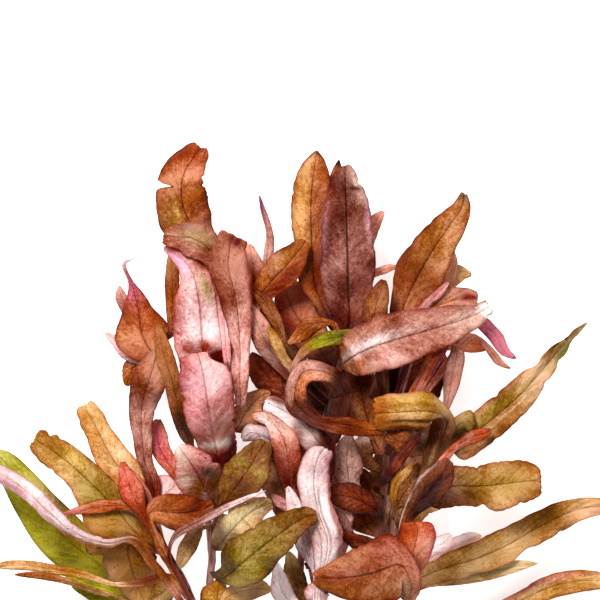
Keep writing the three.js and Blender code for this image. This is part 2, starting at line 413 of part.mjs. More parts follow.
// The clear place on the stem that is nearest to where the leaf wants to leave it. The base
// of a leaf grown to the stem is on the stem's axis, and any other keeps a gap to it.
function seatOn(stemName, stem, first, under, grown) {
  const length = stem.curve.getLength();
  let nearest = 0;
  let shortest = Infinity;
  for (let along = 0; along <= length; along += 1) {
    const distance = stem.curve.getPointAt(along / length).setZ(0)
      .distanceTo(first.clone().setZ(0));
    if (distance < shortest) {
      shortest = distance;
      nearest = along;
    }
  }
  const wish = THREE.MathUtils.clamp(nearest - 0.6 * shortest, 2, length - 1.5);
  for (let slide = 0; slide < 60; slide += 0.5) {
    for (const along of [wish - slide, wish + slide]) {
      if (along < 1 || along > length - 1) {
        continue;
      }
      const u = along / length;
      const axis = stem.curve.getPointAt(u);
      const right = stem.curve.getTangentAt(u).cross(UP).normalize();
      const aside = first.clone().sub(axis).dot(right);
      const reach = stemRadius(u) + SEAT_GAP;
      for (const upright of [1, 0.6, 0.2]) {
        const lean = upright * THREE.MathUtils.clamp(aside / 5, -0.95, 0.95);
        const rise = Math.sqrt(1 - lean * lean) * (under ? -1 : 1);
        const base = axis.clone().addScaledVector(right, lean * reach)
          .addScaledVector(UP, rise * reach);
        if (isClear(base, stemName)) {
          return { base: grown ? axis : base, touch: base };
        }
      }
    }
  }
  throw new Error(`no clear place for a leaf on stem ${stemName}`);
}

function isClear(base, stemName) {
  for (let dx = -1; dx <= 1; dx += 0.5) {
    for (let dy = -1; dy <= 1; dy += 0.5) {
      const cell = cellAt(base.x + dx, base.y + dy);
      const owner = owners[cell];
      if (owner !== `stem_${stemName}` && heights[cell] > base.z - 0.6) {
        return false;
      }
    }
  }
  return true;
}

// The blade as rows of points from base to tip, each row from the left edge to the right
// one, with the direction in which the blade is thick. It keeps a share of its rise.
function bladeRows(route, base, cup, columns, keep) {
  const points = [base];
  const sizes = [new THREE.Vector3(BASE_HALF_WIDTH, 0, 0)];
  for (const [column, row, rise, halfWidth, roll] of route) {
    const point = place(column, row, base.z + keep * rise);
    if (point.distanceTo(points[points.length - 1]) > 1.2) {
      points.push(point);
      sizes.push(new THREE.Vector3(halfWidth * PIXEL, THREE.MathUtils.degToRad(roll), 0));
    }
  }
  const midrib = curveThrough(points);
  const size = curveThrough(sizes);
  const length = midrib.getLength();
  const count = Math.max(4, Math.round(length / LEAF_STEP) + 1);
  const rows = [];
  for (let row = 0; row <= count + 1; row += 1) {
    const even = row / (count + 1);
    const u = 0.5 * even + 0.25 * (1 - Math.cos(Math.PI * even));
    const t = midrib.getUtoTmapping(u);
    const middle = midrib.getPoint(t);
    const along = midrib.getTangent(t);
    const [halfWidth, roll] = size.getPoint(t).toArray();
    const flat = along.clone().cross(UP).normalize();
    const over = flat.clone().cross(along);
    const right = flat.clone().multiplyScalar(Math.cos(roll))
      .addScaledVector(over, Math.sin(roll));
    const out = right.clone().cross(along);
    const width = Math.max(halfWidth, 0.4);
    const places = columns.map((side) => middle.clone()
      .addScaledVector(right, side * width)
      .addScaledVector(out, cup * width * side * side));
    rows.push({ middle, out, places, lift: 0 });
  }
  return rows;
}

function thicknessAt(side) {
  if (Math.abs(side) > 0.9) {
    return 0;
  }
  return side === 0 ? MIDRIB_THICKNESS : BLADE_THICKNESS;
}

// Runs over the blade in small steps and gives each point with its rows and its share.
function overBlade(rows, visit) {
  const columns = rows[0].places.length;
  for (let row = 0; row + 1 < rows.length; row += 1) {
    const before = rows[row];
    const after = rows[row + 1];
    const steps = Math.max(2, Math.ceil(before.middle.distanceTo(after.middle) / SAMPLE));
    for (let step = 0; step <= steps; step += 1) {
      const share = step / steps;
      for (let column = 0; column + 1 < columns; column += 1) {
        const left = before.places[column].clone().lerp(after.places[column], share);
        const right = before.places[column + 1].clone().lerp(after.places[column + 1], share);
        const parts = Math.max(1, Math.ceil(left.distanceTo(right) / SAMPLE));
        for (let part = 0; part <= parts; part += 1) {
          const point = left.clone().lerp(right, part / parts);
          const lift = THREE.MathUtils.lerp(before.lift, after.lift, share);
          point.z += lift;
          const out = before.out.z * (1 - share) + after.out.z * share;
          visit(point, row, share, out);
        }
      }
    }
  }
}

// Lifts the rows until the blade clears what lies below it, then puts it on the map.
function layBlade(rows, touch, owner, stemOwner) {
  for (let pass = 0; pass < 14; pass += 1) {
    const short = rows.map(() => 0);
    overBlade(rows, (point, row, share, out) => {
      const cell = cellAt(point.x, point.y);
      const near = point.distanceTo(touch);
      if (near < 1.2 || (owners[cell] === stemOwner && near < 3)) {
        return;
      }
      const low = point.z + Math.min(0, out * MIDRIB_THICKNESS);
      const missing = heights[cell] + LAYER_GAP - low;
      if (missing > 0 && row > 0) {
        short[row] = Math.max(short[row], missing);
        short[row + 1] = Math.max(short[row + 1], missing);
      } else if (missing > 0 && share > 0.35) {
        short[1] = Math.max(short[1], missing / share);
      }
    });
    if (Math.max(...short.slice(1)) < 0.02) {
      break;
    }
    rows.forEach((row, index) => {
      row.lift += index === 0 ? 0 : short[index];
    });
    const lifts = rows.map((row) => row.lift);
    for (let index = 1; index + 1 < rows.length; index += 1) {
      const between = (lifts[index - 1] + 2 * lifts[index] + lifts[index + 1]) / 4;
      rows[index].lift = Math.max(lifts[index], between);
    }
    const last = rows.length - 1;
    rows[last].lift = Math.max(lifts[last], rows[last - 1].lift * 0.8);
  }
  overBlade(rows, (point, row, share, out) => {
    raise(point, Math.max(point.z, 0) + Math.abs(out) * MIDRIB_THICKNESS, owner);
  });
}

// The blade as a closed body: flat below, thickest at the midrib and sharp at its edges. A
// part that would reach under the surface is pressed flat on it.
function bladeBody(rows, columns) {
  const rings = [];
  for (const row of rows.slice(1, -1)) {
    const below = row.places.map((point, index) => {
      const floor = row.out.z < 0 ? thicknessAt(columns[index]) : 0;
      return point.clone().setZ(Math.max(point.z + row.lift, floor));
    });
    const above = below.map((point, index) => point.clone()
      .addScaledVector(row.out, thicknessAt(columns[index])));
    rings.push([...above.slice(1).reverse(), below[0], ...below.slice(1, -1)]);
  }
  const ends = [rows[0], rows[rows.length - 1]].map((row) => {
    const end = row.middle.clone();
    end.z = Math.max(end.z + row.lift, 0.1);
    return end;
  });
  return loft(ends[0], rings, ends[1]);
}

const wasm = await Module();
wasm.setup();

function toSolid(geometry) {
  const merged = mergeVertices(geometry);
  return new wasm.Manifold(new wasm.Mesh({
    numProp: 3,
    vertProperties: merged.getAttribute('position').array,
    triVerts: new Uint32Array(merged.getIndex().array),
  }));
}

function toGeometry(solid) {
  const mesh = solid.getMesh();
  const geometry = new THREE.BufferGeometry();
  geometry.setAttribute('position', new THREE.BufferAttribute(mesh.vertProperties, 3));
  geometry.setIndex(new THREE.BufferAttribute(mesh.triVerts, 1));
  return geometry;
}

function addPiece(group, name, geometry, colour) {
  geometry.computeVertexNormals();
  const material = new THREE.MeshStandardMaterial({
    color: COLOURS[colour], roughness: 0.55, metalness: 0 });
  const mesh = new THREE.Mesh(geometry, material);
  mesh.name = name;
  group.add(mesh);
}

// Lays every piece in turn, from the lowest layer to the highest: the leaves under the
// stems, the stems, and the leaves over them.
const stems = {};
for (const [name, route] of Object.entries(STEMS)) {
  stems[name] = { curve: curveThrough(route.map((point) => place(...point))) };
  stems[name].bodies = [toSolid(stemBody(stems[name]))];
}

const pieces = [
  ...LEAVES.map(([name, stem, layer, cup, colour, route]) => (
    { name, stem, layer, cup, colour, route, columns: WIDE })),
  ...YOUNG_LEAVES.map(([stem, layer, cup, route], index) => (
    { name: `young_${index}`, stem, layer, cup, route, columns: NARROW })),
];
pieces.sort((one, other) => one.layer - other.layer);

const bunch = new THREE.Group();
let stemsLaid = false;
for (const piece of pieces) {
  if (piece.layer >= 0 && !stemsLaid) {
    Object.entries(stems).forEach(([name, stem]) => layStem(`stem_${name}`, stem));
    stemsLaid = true;
  }
  const stem = stems[piece.stem];
  const grown = piece.columns === NARROW;
  const first = place(...piece.route[0]);
  const { base, touch } = seatOn(piece.stem, stem, first, piece.layer < 0, grown);
  const keep = piece.layer < 0 ? 1 : RISE;
  const rows = bladeRows(piece.route, base, piece.cup, piece.columns, keep);
  layBlade(rows, touch, piece.name, `stem_${piece.stem}`);
  const body = bladeBody(rows, piece.columns);
  if (grown) {
    stem.bodies.push(toSolid(body));
  } else {
    addPiece(bunch, piece.name, body, piece.colour);
  }
}

for (const [name, stem] of Object.entries(stems)) {
  const joined = stem.bodies.reduce((whole, body) => whole.add(body));
  addPiece(bunch, `stem_${name}`, toGeometry(joined), 'stem');
}

export default bunch;
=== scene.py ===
"""Looks of a cut bunch of Ammannia senegalensis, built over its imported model."""

import random

import bmesh
import bpy
import numpy as np
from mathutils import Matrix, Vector


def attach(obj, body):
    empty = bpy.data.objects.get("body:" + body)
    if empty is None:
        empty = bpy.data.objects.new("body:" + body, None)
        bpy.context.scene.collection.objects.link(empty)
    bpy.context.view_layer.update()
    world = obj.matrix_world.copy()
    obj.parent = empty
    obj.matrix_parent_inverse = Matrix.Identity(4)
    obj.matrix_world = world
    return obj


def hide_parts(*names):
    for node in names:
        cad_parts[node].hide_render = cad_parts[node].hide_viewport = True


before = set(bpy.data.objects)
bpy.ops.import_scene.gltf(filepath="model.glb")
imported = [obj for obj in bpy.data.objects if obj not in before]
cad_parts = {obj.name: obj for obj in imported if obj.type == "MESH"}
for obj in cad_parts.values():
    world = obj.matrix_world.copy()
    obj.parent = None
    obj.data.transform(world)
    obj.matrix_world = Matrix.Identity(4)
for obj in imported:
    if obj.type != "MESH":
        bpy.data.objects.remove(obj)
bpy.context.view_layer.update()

# The bunch lies on a plain white table in a white studio, and the camera looks straight down
# on it through a long lens. One pixel of the photograph shows 0.3 mm of the bunch, and its
# column 308 and row 500 are over the origin.
PIXEL = 0.0003
ORIGIN_COLUMN = 308
ORIGIN_ROW = 500
PHOTO_SIZE = 600
LENS_MM = 500
SENSOR_MM = 36
LEAF_LEVEL = 0.03
TABLE_SIZE = 4.0
TABLE_DROP = 0.0001
TABLE_COLOUR = (0.92, 0.92, 0.92, 1.0)
TABLE_ROUGHNESS = 0.9
TABLE_SHINE = 0.1
TABLE_GLOW_COLOUR = (1.0, 1.0, 1.0, 1.0)
TABLE_GLOW = 0.66
STUDIO_COLOUR = (1.0, 0.985, 0.97, 1.0)
STUDIO_STRENGTH = 0.19
KEY_PLACE = (-0.5, 0.75, 1.2)
KEY_SIZE = 0.5
KEY_POWER = 29.0
FILL_PLACE = (0.8, -0.2, 1.0)
FILL_SIZE = 0.8
FILL_POWER = 5.0


def over(column, row, height=0.0):
    """The place in metres that a column and row of the photograph show."""
    return Vector(((column - ORIGIN_COLUMN) * PIXEL, (ORIGIN_ROW - row) * PIXEL, height))


def plug(tree, node, inputs):
    """Sets a node's sockets to values, or links them to the outputs that are given."""
    for socket, value in inputs.items():
        if isinstance(value, bpy.types.NodeSocket):
            tree.links.new(value, node.inputs[socket])
        else:
            node.inputs[socket].default_value = value


def new_material(name):
    """A new material, its node tree and its Principled shader."""
    material = bpy.data.materials.new(name)
    material.use_nodes = True
    return material, material.node_tree, material.node_tree.nodes["Principled BSDF"]


def soft_light(name, place, size, power):
    """A square soft light that faces the middle of the bunch."""
    light = bpy.data.lights.new(name, "AREA")
    light.size = size
    light.energy = power
    lamp = bpy.data.objects.new(name, light)
    lamp.location = place
    lamp.rotation_euler = (-Vector(place)).to_track_quat("-Z", "Y").to_euler()
    bpy.context.scene.collection.objects.link(lamp)


bpy.ops.object.select_all(action="DESELECT")
bpy.ops.mesh.primitive_plane_add(size=TABLE_SIZE, location=(0, 0, -TABLE_DROP))
table = bpy.context.object
table.name = "table"
table_paint, table_tree, table_shader = new_material("white_table")
plug(table_tree, table_shader, {
    "Base Color": TABLE_COLOUR, "Roughness": TABLE_ROUGHNESS, "Specular IOR Level": TABLE_SHINE,
    "Emission Color": TABLE_GLOW_COLOUR, "Emission Strength": TABLE_GLOW})
table.data.materials.append(table_paint)

studio = bpy.data.worlds.new("studio")
studio.use_nodes = True
plug(studio.node_tree, studio.node_tree.nodes["Background"], {
    "Color": STUDIO_COLOUR, "Strength": STUDIO_STRENGTH})
bpy.context.scene.world = studio
soft_light("key_light", KEY_PLACE, KEY_SIZE, KEY_POWER)
soft_light("fill_light", FILL_PLACE, FILL_SIZE, FILL_POWER)

lens = bpy.data.cameras.new("camera")
lens.lens = LENS_MM
lens.sensor_width = SENSOR_MM
camera = bpy.data.objects.new("camera", lens)
camera.location = over(PHOTO_SIZE / 2, PHOTO_SIZE / 2, LEAF_LEVEL)
camera.location.z += PHOTO_SIZE * PIXEL * LENS_MM / SENSOR_MM
bpy.context.scene.collection.objects.link(camera)
bpy.context.scene.camera = camera
bpy.context.scene.view_settings.view_transform = "Standard"

# Nine shoots. Each stem is a round soft stalk, dull red to mauve, a little swollen where its
# leaves are set, and cut square at its lower end, where the pale pith shows.
STEM_ROUTES = {
    # From the cut end up: the column and row in the photograph, below its edge too, and the
    # height over the table in millimetres.
    "a": [(304, 850, 1.6), (300, 720, 12), (299, 600, 24), (306, 510, 27), (320, 440, 29),
          (334, 385, 30.5), (345, 345, 31.5), (347, 312, 32)],
    "b": [(297, 853, 5.2), (262, 720, 16), (214, 610, 24), (212, 560, 25), (216, 520, 27),
          (229, 478, 28), (232, 430, 29), (230, 380, 30), (227, 330, 31), (225, 300, 31)],
    "c": [(283, 846, 5.2), (250, 720, 11), (196, 610, 18), (181, 577, 20), (165, 552, 21),
          (152, 528, 22), (145, 506, 22)],
    "d": [(290, 848, 1.6), (268, 720, 5), (214, 605, 10), (211, 555, 13), (205, 500, 18),
          (196, 460, 21), (182, 425, 23), (175, 395, 24), (168, 360, 25), (162, 335, 25)],
    "e": [(318, 852, 1.6), (340, 720, 8), (368, 610, 16), (382, 520, 20), (388, 430, 23),
          (392, 360, 25), (396, 325, 26)],
    "f": [(325, 845, 5.2), (360, 720, 15), (390, 600, 22), (396, 545, 24), (408, 505, 25),
          (426, 478, 26), (442, 456, 27), (450, 438, 27)],
    "g": [(332, 849, 1.6), (372, 730, 6), (404, 640, 10), (414, 595, 12), (412, 570, 13)],
    "h": [(311, 855, 5.2), (312, 720, 18), (316, 620, 28), (319, 590, 30), (320, 566, 31)],
    "i": [(276, 847, 1.6), (236, 740, 4), (180, 660, 6), (150, 620, 8), (136, 602, 9),
          (128, 590, 9)],
}
STEM_RADIUS = 0.0015
STEM_TIP_RADIUS = 0.0009
STEM_POINTS_A_ROUTE_STEP = 24
STEM_BEVEL_STEPS = 3
MM_A_METRE = 1000
JOINT_SPACING = 0.0105
JOINT_LENGTH = 0.0009
JOINT_SWELLING = 0.13
STEM_COLOURS = {
    "a": ("8a4634", "5c2416"), "b": ("a8786a", "7a4638"), "c": ("b04a38", "7c2a1c"),
    "d": ("9c6a58", "6c3c2c"), "e": ("7c3a26", "4c1c10"), "f": ("8c4a30", "5c2818"),
    "g": ("a8563c", "74301c"), "h": ("c89a8c", "98604e"), "i": ("9a6a3c", "68401c"),
}
STREAK_SCALES = (900, 90, 900)
BLOTCH_SCALE = 260.0
BLOTCH_COLOUR = "4a1c14"
BLOTCH_STRENGTH = 0.45
STEM_BUMP = 0.4
STEM_BUMP_HEIGHT = 0.0002
STEM_ROUGHNESS = 0.4
PITH_GRAIN_SCALE = 2500.0
PITH_COLOURS = ("d8c898", "a88a54")
PITH_ROUGHNESS = 0.35


def colour(code):
    """The linear colour of a six-digit code as a painter would read it from a screen."""
    shares = np.array([int(code[start:start + 2], 16) / 255 for start in (0, 2, 4)])
    linear = np.where(shares <= 0.04045, shares / 12.92, ((shares + 0.055) / 1.055) ** 2.4)
    return (*linear, 1.0)


def add_node(tree, kind, inputs=None, **settings):
    """A node with its settings, and its sockets set to values or linked to outputs."""
    node = tree.nodes.new(kind)
    for key, value in settings.items():
        setattr(node, key, value)
    plug(tree, node, inputs or {})
    return node


def calc(tree, operation, *values):
    """The output of a Math node."""
    return add_node(tree, "ShaderNodeMath", dict(enumerate(values)), operation=operation).outputs[0]


def times(tree, first, second):
    """The product of two values."""
    return calc(tree, "MULTIPLY", first, second)


def plus(tree, first, second):
    """The sum of two values."""
    return calc(tree, "ADD", first, second)


def mixed(tree, share, first, second):
    """The first colour turned into the second one by a share."""
    node = add_node(tree, "ShaderNodeMix", {0: share, 6: first, 7: second}, data_type="RGBA")
    return node.outputs[2]


def step(tree, value, low, high):
    """A soft step from 0 at the low value to 1 at the high one."""
    node = add_node(tree, "ShaderNodeMapRange", {0: value, 1: low, 2: high},
                    interpolation_type="SMOOTHSTEP")
    return node.outputs[0]


def noise(tree, place, scale, detail=4.0, roughness=0.55, distortion=0.0):
    """The value of a Noise Texture."""
    node = add_node(tree, "ShaderNodeTexNoise", {
        "Vector": place, "Scale": scale, "Detail": detail, "Roughness": roughness,
        "Distortion": distortion})
    return node.outputs["Fac"]


def stem_material(name, pale, deep):
    """Soft skin of a stem, streaked along it and a little blotched."""
    material, tree, shader = new_material(name)
    place = add_node(tree, "ShaderNodeTexCoord").outputs["Object"]
    drawn_out = add_node(tree, "ShaderNodeMapping", {"Vector": place, "Scale": STREAK_SCALES})
    streaks = step(tree, noise(tree, drawn_out.outputs[0], 1.0, 3.0), 0.35, 0.68)
    blotches = step(tree, noise(tree, place, BLOTCH_SCALE), 0.4, 0.7)
    skin = mixed(tree, streaks, colour(pale), colour(deep))
    skin = mixed(tree, times(tree, blotches, BLOTCH_STRENGTH), skin, colour(BLOTCH_COLOUR))
    bump = add_node(tree, "ShaderNodeBump", {
        "Strength": STEM_BUMP, "Distance": STEM_BUMP_HEIGHT,
        "Height": plus(tree, streaks, blotches)})
    plug(tree, shader, {
        "Base Color": skin, "Normal": bump.outputs[0], "Roughness": STEM_ROUGHNESS})
    return material


def pith_material():
    """Pale moist pith of a cut end, with darker vessels."""
    material, tree, shader = new_material("cut_pith")
    place = add_node(tree, "ShaderNodeTexCoord").outputs["Object"]
    grains = step(tree, noise(tree, place, PITH_GRAIN_SCALE), 0.35, 0.65)
    plug(tree, shader, {
        "Base Color": mixed(tree, grains, *map(colour, PITH_COLOURS)),
        "Roughness": PITH_ROUGHNESS})
    return material


def curve_points(route, count):
    """Points on a smooth curve through a route, as many between its points as the count."""
    points = np.array(route, float)
    points = np.vstack([2 * points[0] - points[1], points, 2 * points[-1] - points[-2]])
    found = []
    for start in range(1, len(points) - 2):
        before, here, after, beyond = points[start - 1:start + 3]
        for share in np.arange(count) / count:
            found.append(0.5 * (2 * here + (after - before) * share
                                + (2 * before - 5 * here + 4 * after - beyond) * share ** 2
                                + (3 * here - before - 3 * after + beyond) * share ** 3))
    return np.array(found + [points[-2]])


def distances_along(points):
    """How far each point of a line is from its start, measured along the line."""
    return np.concatenate([[0], np.cumsum(np.linalg.norm(np.diff(points, axis=0), axis=1))])


def bell(distance, breadth):
    """A bell curve: 1 at no distance, and close to 0 past twice the breadth."""
    return np.exp(-(distance / breadth) ** 2)


pith = pith_material()
stem_lines = {}
for letter, route in STEM_ROUTES.items():
    line = curve_points([over(column, row, height / MM_A_METRE) for column, row, height in route],
                        STEM_POINTS_A_ROUTE_STEP)
    stem_lines[letter] = line
    gone = distances_along(line)
    from_joint = (gone + JOINT_SPACING / 2) % JOINT_SPACING - JOINT_SPACING / 2
    radii = STEM_RADIUS + (STEM_TIP_RADIUS - STEM_RADIUS) * gone / gone[-1]
    radii *= 1 + JOINT_SWELLING * (bell(from_joint, JOINT_LENGTH) - 0.5)
    curve = bpy.data.curves.new(f"stem_{letter}_skin", "CURVE")
    curve.dimensions = "3D"
    curve.bevel_depth = 1.0
    curve.bevel_resolution = STEM_BEVEL_STEPS
    curve.use_fill_caps = True
    spline = curve.splines.new("POLY")
    spline.points.add(len(line) - 1)
    spline.points.foreach_set("co", np.column_stack([line, np.ones(len(line))]).ravel())
    spline.points.foreach_set("radius", radii)
    stem = bpy.data.objects.new(f"stem_{letter}_skin", curve)
    bpy.context.scene.collection.objects.link(stem)
    bpy.ops.object.select_all(action="DESELECT")
    stem.select_set(True)
    bpy.context.view_layer.objects.active = stem
    bpy.ops.object.convert(target="MESH")
    stem = bpy.context.object
    stem.data.materials.clear()
    stem.data.materials.append(stem_material(f"stem_{letter}_red", *STEM_COLOURS[letter]))
    stem.data.materials.append(pith)
    for face in stem.data.polygons:
        face.use_smooth = len(face.vertices) == 4
        face.material_index = int(not face.use_smooth)
    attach(stem, "root")
    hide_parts(f"stem_{letter}")

# The skin of the leaves. It is thin satin tissue with a cover of specks, a worn edge, a sunk
# midrib and faint side veins. An upper face is rust to olive and a lower one dusty pink to
# mauve. Painted shade darkens each blade towards its base, painted fold shading and glints
# play over it, and pale and dark places are painted on it leaf by leaf: some are the leaf's
# own colour, others painted highlights and painted shade.
LOOK_COLOURS = ("Pale", "Deep", "Painted base shade", "Far", "Edge", "Rib")
LOOK_AMOUNTS = ("Rib strength", "Vein strength", "Mottling", "Streaks", "Specks", "Dullness")
LOOKS = {
    # Name: pale, deep, painted base shade, tip, edge and rib colours, then how strong the rib,
    # the veins, the mottling, the streaks and the specks are, and the roughness.
    "rust": ("d09066", "803816", "661c0a", "bc7a50", "7c2810", "5e2212",
             0.7, 0.4, 0.9, 0.5, 0.4, 0.42),
    "ember": ("d07a48", "8c3010", "701c08", "c06a3c", "842418", "5c180c",
              0.6, 0.35, 0.85, 0.5, 0.3, 0.4),
    "gold": ("dab280", "966022", "803e18", "be9058", "94481c", "70401a",
             0.6, 0.45, 0.85, 0.5, 0.45, 0.42),
    "tan": ("ecc898", "b47c48", "945030", "d4a470", "a85830", "8c5c34",
            0.5, 0.45, 0.75, 0.5, 0.45, 0.42),
    "olive": ("bc945c", "6a3c0c", "5c280a", "98763e", "66380c", "50300a",
              0.6, 0.4, 0.9, 0.5, 0.5, 0.4),
    "green": ("b6b41c", "7c6c02", "74520c", "a49c2c", "706410", "949430",
              0.5, 0.25, 0.6, 0.3, 0.3, 0.38),
    "brown": ("b4784c", "58200a", "480e04", "8c4a26", "581a08", "48180a",
              0.6, 0.35, 0.9, 0.5, 0.4, 0.42),
    "maroon": ("8e4426", "500c02", "420602", "762a12", "4c0e04", "3c0a04",
               0.5, 0.3, 0.9, 0.5, 0.3, 0.38),
    "mauve": ("a87468", "5c2416", "561a0c", "8c584a", "602418", "341410",
              0.85, 0.4, 0.85, 0.5, 0.8, 0.36),
    "dusk": ("dcaa9c", "8c442e", "782c18", "b87864", "7c3020", "6c3020",
             0.6, 0.35, 0.85, 0.5, 0.6, 0.38),
    "pink": ("f6caca", "b46e60", "943c2c", "e0a8a0", "a84c44", "90443c",
             0.5, 0.4, 0.8, 0.55, 0.8, 0.34),
    "blush": ("f6d4d4", "cc9488", "a85c4c", "e8bcb8", "b4645c", "b07068",
              0.5, 0.4, 0.8, 0.55, 0.8, 0.33),
    "white": ("fceef0", "d0a8a0", "bc8474", "f4e0de", "b46c66", "a07470",
              0.5, 0.5, 0.7, 0.65, 0.8, 0.32),
    "salmon": ("e4a08a", "9c4630", "7c2414", "d88c74", "903020", "802c20",
               0.5, 0.35, 0.8, 0.5, 0.4, 0.38),
    "magenta": ("d87a8a", "90303c", "701820", "c86878", "7c2028", "78203a",
                0.5, 0.3, 0.75, 0.5, 0.4, 0.36),
}
PATCH_SCALE = 130.0
GRAIN_SCALE = 950.0
GRAIN_AND_GLINT_FLECK_SCALE = 2400.0
FOLD_SHADING_SCALE = 75.0
VEIN_WAVER_SCALE = 140.0
VEIN_BREAK_SCALE = 210.0
VEIN_COUNT = 11.0
VEIN_SLANT = 0.2
SPECK_SCALE = 620.0
SPECK_PLACE_SCALE = 170.0
SPECK_COLOUR = "3c140c"
SKIN_DARKENING = -1.65
SKIN_BUMP = 0.7
SKIN_BUMP_HEIGHT = 0.0004
SKIN_SHINE = 0.1


def summed(tree, start, *pairs):
    """A value with others added to it, each times its own share."""
    for value, share in pairs:
        start = plus(tree, start, times(tree, value, share))
    return start


def from_half(tree, value):
    """How far a value is from a half: 0 there, and 1 at 0 and at 1."""
    return times(tree, calc(tree, "ABSOLUTE", calc(tree, "SUBTRACT", value, 0.5)), 2.0)


def place_of(tree, *values):
    """A place made of three values."""
    return add_node(tree, "ShaderNodeCombineXYZ", dict(enumerate(values))).outputs[0]


def leaf_skin_group():
    """Skin of a leaf face: mottled and streaked colour with a rib, veins, an edge and specks,
    painted shade at its base, broad waves of painted fold shading, fine flecks of grain and
    painted glint, and bright places paled as a painted sheen. The face's own UV map runs from
    base to tip and across, and paint is kept per vertex."""
    group = bpy.data.node_groups.new("leaf_skin", "ShaderNodeTree")
    for way, kind, names in (
            ("INPUT", "Color", LOOK_COLOURS), ("INPUT", "Float", LOOK_AMOUNTS),
            ("OUTPUT", "Color", ["Colour"]), ("OUTPUT", "Float", ["Roughness", "Height"])):
        for name in names:
            group.interface.new_socket(name, in_out=way, socket_type=f"NodeSocket{kind}")
    given = group.nodes.new("NodeGroupInput").outputs
    places = add_node(group, "ShaderNodeTexCoord").outputs
    spot = places["Object"]
    split = add_node(group, "ShaderNodeSeparateXYZ", {0: places["UV"]}).outputs
    along = split[0]
    across = split[1]
    aside = from_half(group, across)
    tone = add_node(group, "ShaderNodeAttribute", attribute_name="tone").outputs["Fac"]
    paint = add_node(group, "ShaderNodeAttribute", attribute_name="paint").outputs

    patches = step(group, noise(group, spot, PATCH_SCALE, 6.0, 0.62, 0.5), 0.36, 0.64)
    grains = noise(group, spot, GRAIN_SCALE, 5.0, 0.7)
    mottles = times(group, summed(group, 0.15, (patches, 0.7)), given["Mottling"])
    skin = mixed(group, mottles, given["Pale"], given["Deep"])
    drawn = place_of(group, times(group, along, 4.0), times(group, across, 30.0),
                     times(group, tone, 60.0))
    streaks = step(group, noise(group, drawn, 1.0, 4.0, 0.65, 0.5), 0.45, 0.75)
    # The streaks, a paler tip, and darkening towards the base in the base colour, which is painted
    # shade.
    for share, strength, shade in (
            (streaks, given["Streaks"], "Deep"), (step(group, along, 0.55, 1.0), 0.7, "Far"),
            (step(group, along, 0.3, 0.02), 0.7, "Painted base shade")):
        skin = mixed(group, times(group, share, strength), skin, given[shade])
    cover = times(group, paint["Alpha"], summed(group, 0.35, (grains, 1.4)))
    skin = mixed(group, calc(group, "MINIMUM", cover, 1.0), skin, paint["Color"])

    phase = times(group, summed(
        group, along, (calc(group, "POWER", aside, 0.7), -VEIN_SLANT),
        (noise(group, spot, VEIN_WAVER_SCALE, 2.0), 0.12)), VEIN_COUNT)
    between = from_half(group, calc(group, "FRACT", phase))
    broken = step(group, noise(group, spot, VEIN_BREAK_SCALE, 2.0), 0.38, 0.62)
    veins = times(group, step(group, between, 0.87, 1.0),
                  times(group, broken, step(group, aside, 1.0, 0.4)))
    rib_width = summed(group, 0.085, (along, -0.05))
    rib = step(group, aside, rib_width, times(group, rib_width, 0.15))
    frayed = summed(group, aside, (grains, 0.16))
    for share, strength, shade in (
            (step(group, frayed, 0.66, 1.1), 0.35, "Edge"), (veins, given["Vein strength"], "Rib"),
            (rib, given["Rib strength"], "Rib"), (step(group, frayed, 0.93, 1.08), 0.65, "Edge")):
        skin = mixed(group, times(group, share, strength), skin, given[shade])

    dots = add_node(group, "ShaderNodeTexVoronoi", {"Vector": spot, "Scale": SPECK_SCALE})
    dotted = times(group, step(group, dots.outputs["Distance"], 0.24, 0.12),
                   step(group, noise(group, spot, SPECK_PLACE_SCALE, 3.0), 0.5, 0.62))
    skin = mixed(group, times(group, dotted, given["Specks"]), skin, colour(SPECK_COLOUR))
    # Broad waves of lighter and darker skin: painted fold shading.
    painted_fold_shading = noise(group, spot, FOLD_SHADING_SCALE, 3.0, 0.5)
    fibres = noise(group, place_of(group, times(group, phase, 3.6), times(group, aside, 1.6),
                                   times(group, across, 1.5)), 1.0, 5.0, 0.62, 0.3)
    # Fine flecks that lighten and darken the skin, partly grain and partly painted glints.
    grain_and_glint_flecks = noise(group, spot, GRAIN_AND_GLINT_FLECK_SCALE, 2.0, 0.6)
    value = summed(group, plus(group, tone, SKIN_DARKENING),
                   (grains, 1.3), (grain_and_glint_flecks, 0.9), (painted_fold_shading, 2.3), (fibres, 0.8))
    depth = calc(group, "MAXIMUM", summed(group, 2.1, (value, -0.9)), 1.0)
    rich = add_node(group, "ShaderNodeGamma", {"Color": skin, "Gamma": depth}).outputs[0]
    # Bright places of the skin lose some saturation: a painted sheen that whitens them.
    sheen_paled_saturation = calc(group, "MAXIMUM", summed(group, 1.25, (value, -0.2)), 0.8)
    lit = add_node(group, "ShaderNodeHueSaturation", {
        "Value": summed(group, 0.4, (value, 0.6)), "Saturation": sheen_paled_saturation,
        "Color": rich}).outputs[0]
    add_node(group, "NodeGroupOutput", {
        "Colour": lit, "Roughness": summed(group, given["Dullness"], (grains, 0.16)),
        "Height": summed(group, times(group, between, -0.45),
                         (rib, -0.8), (patches, 0.35), (grains, 0.5))})
    return group


leaf_skin = leaf_skin_group()


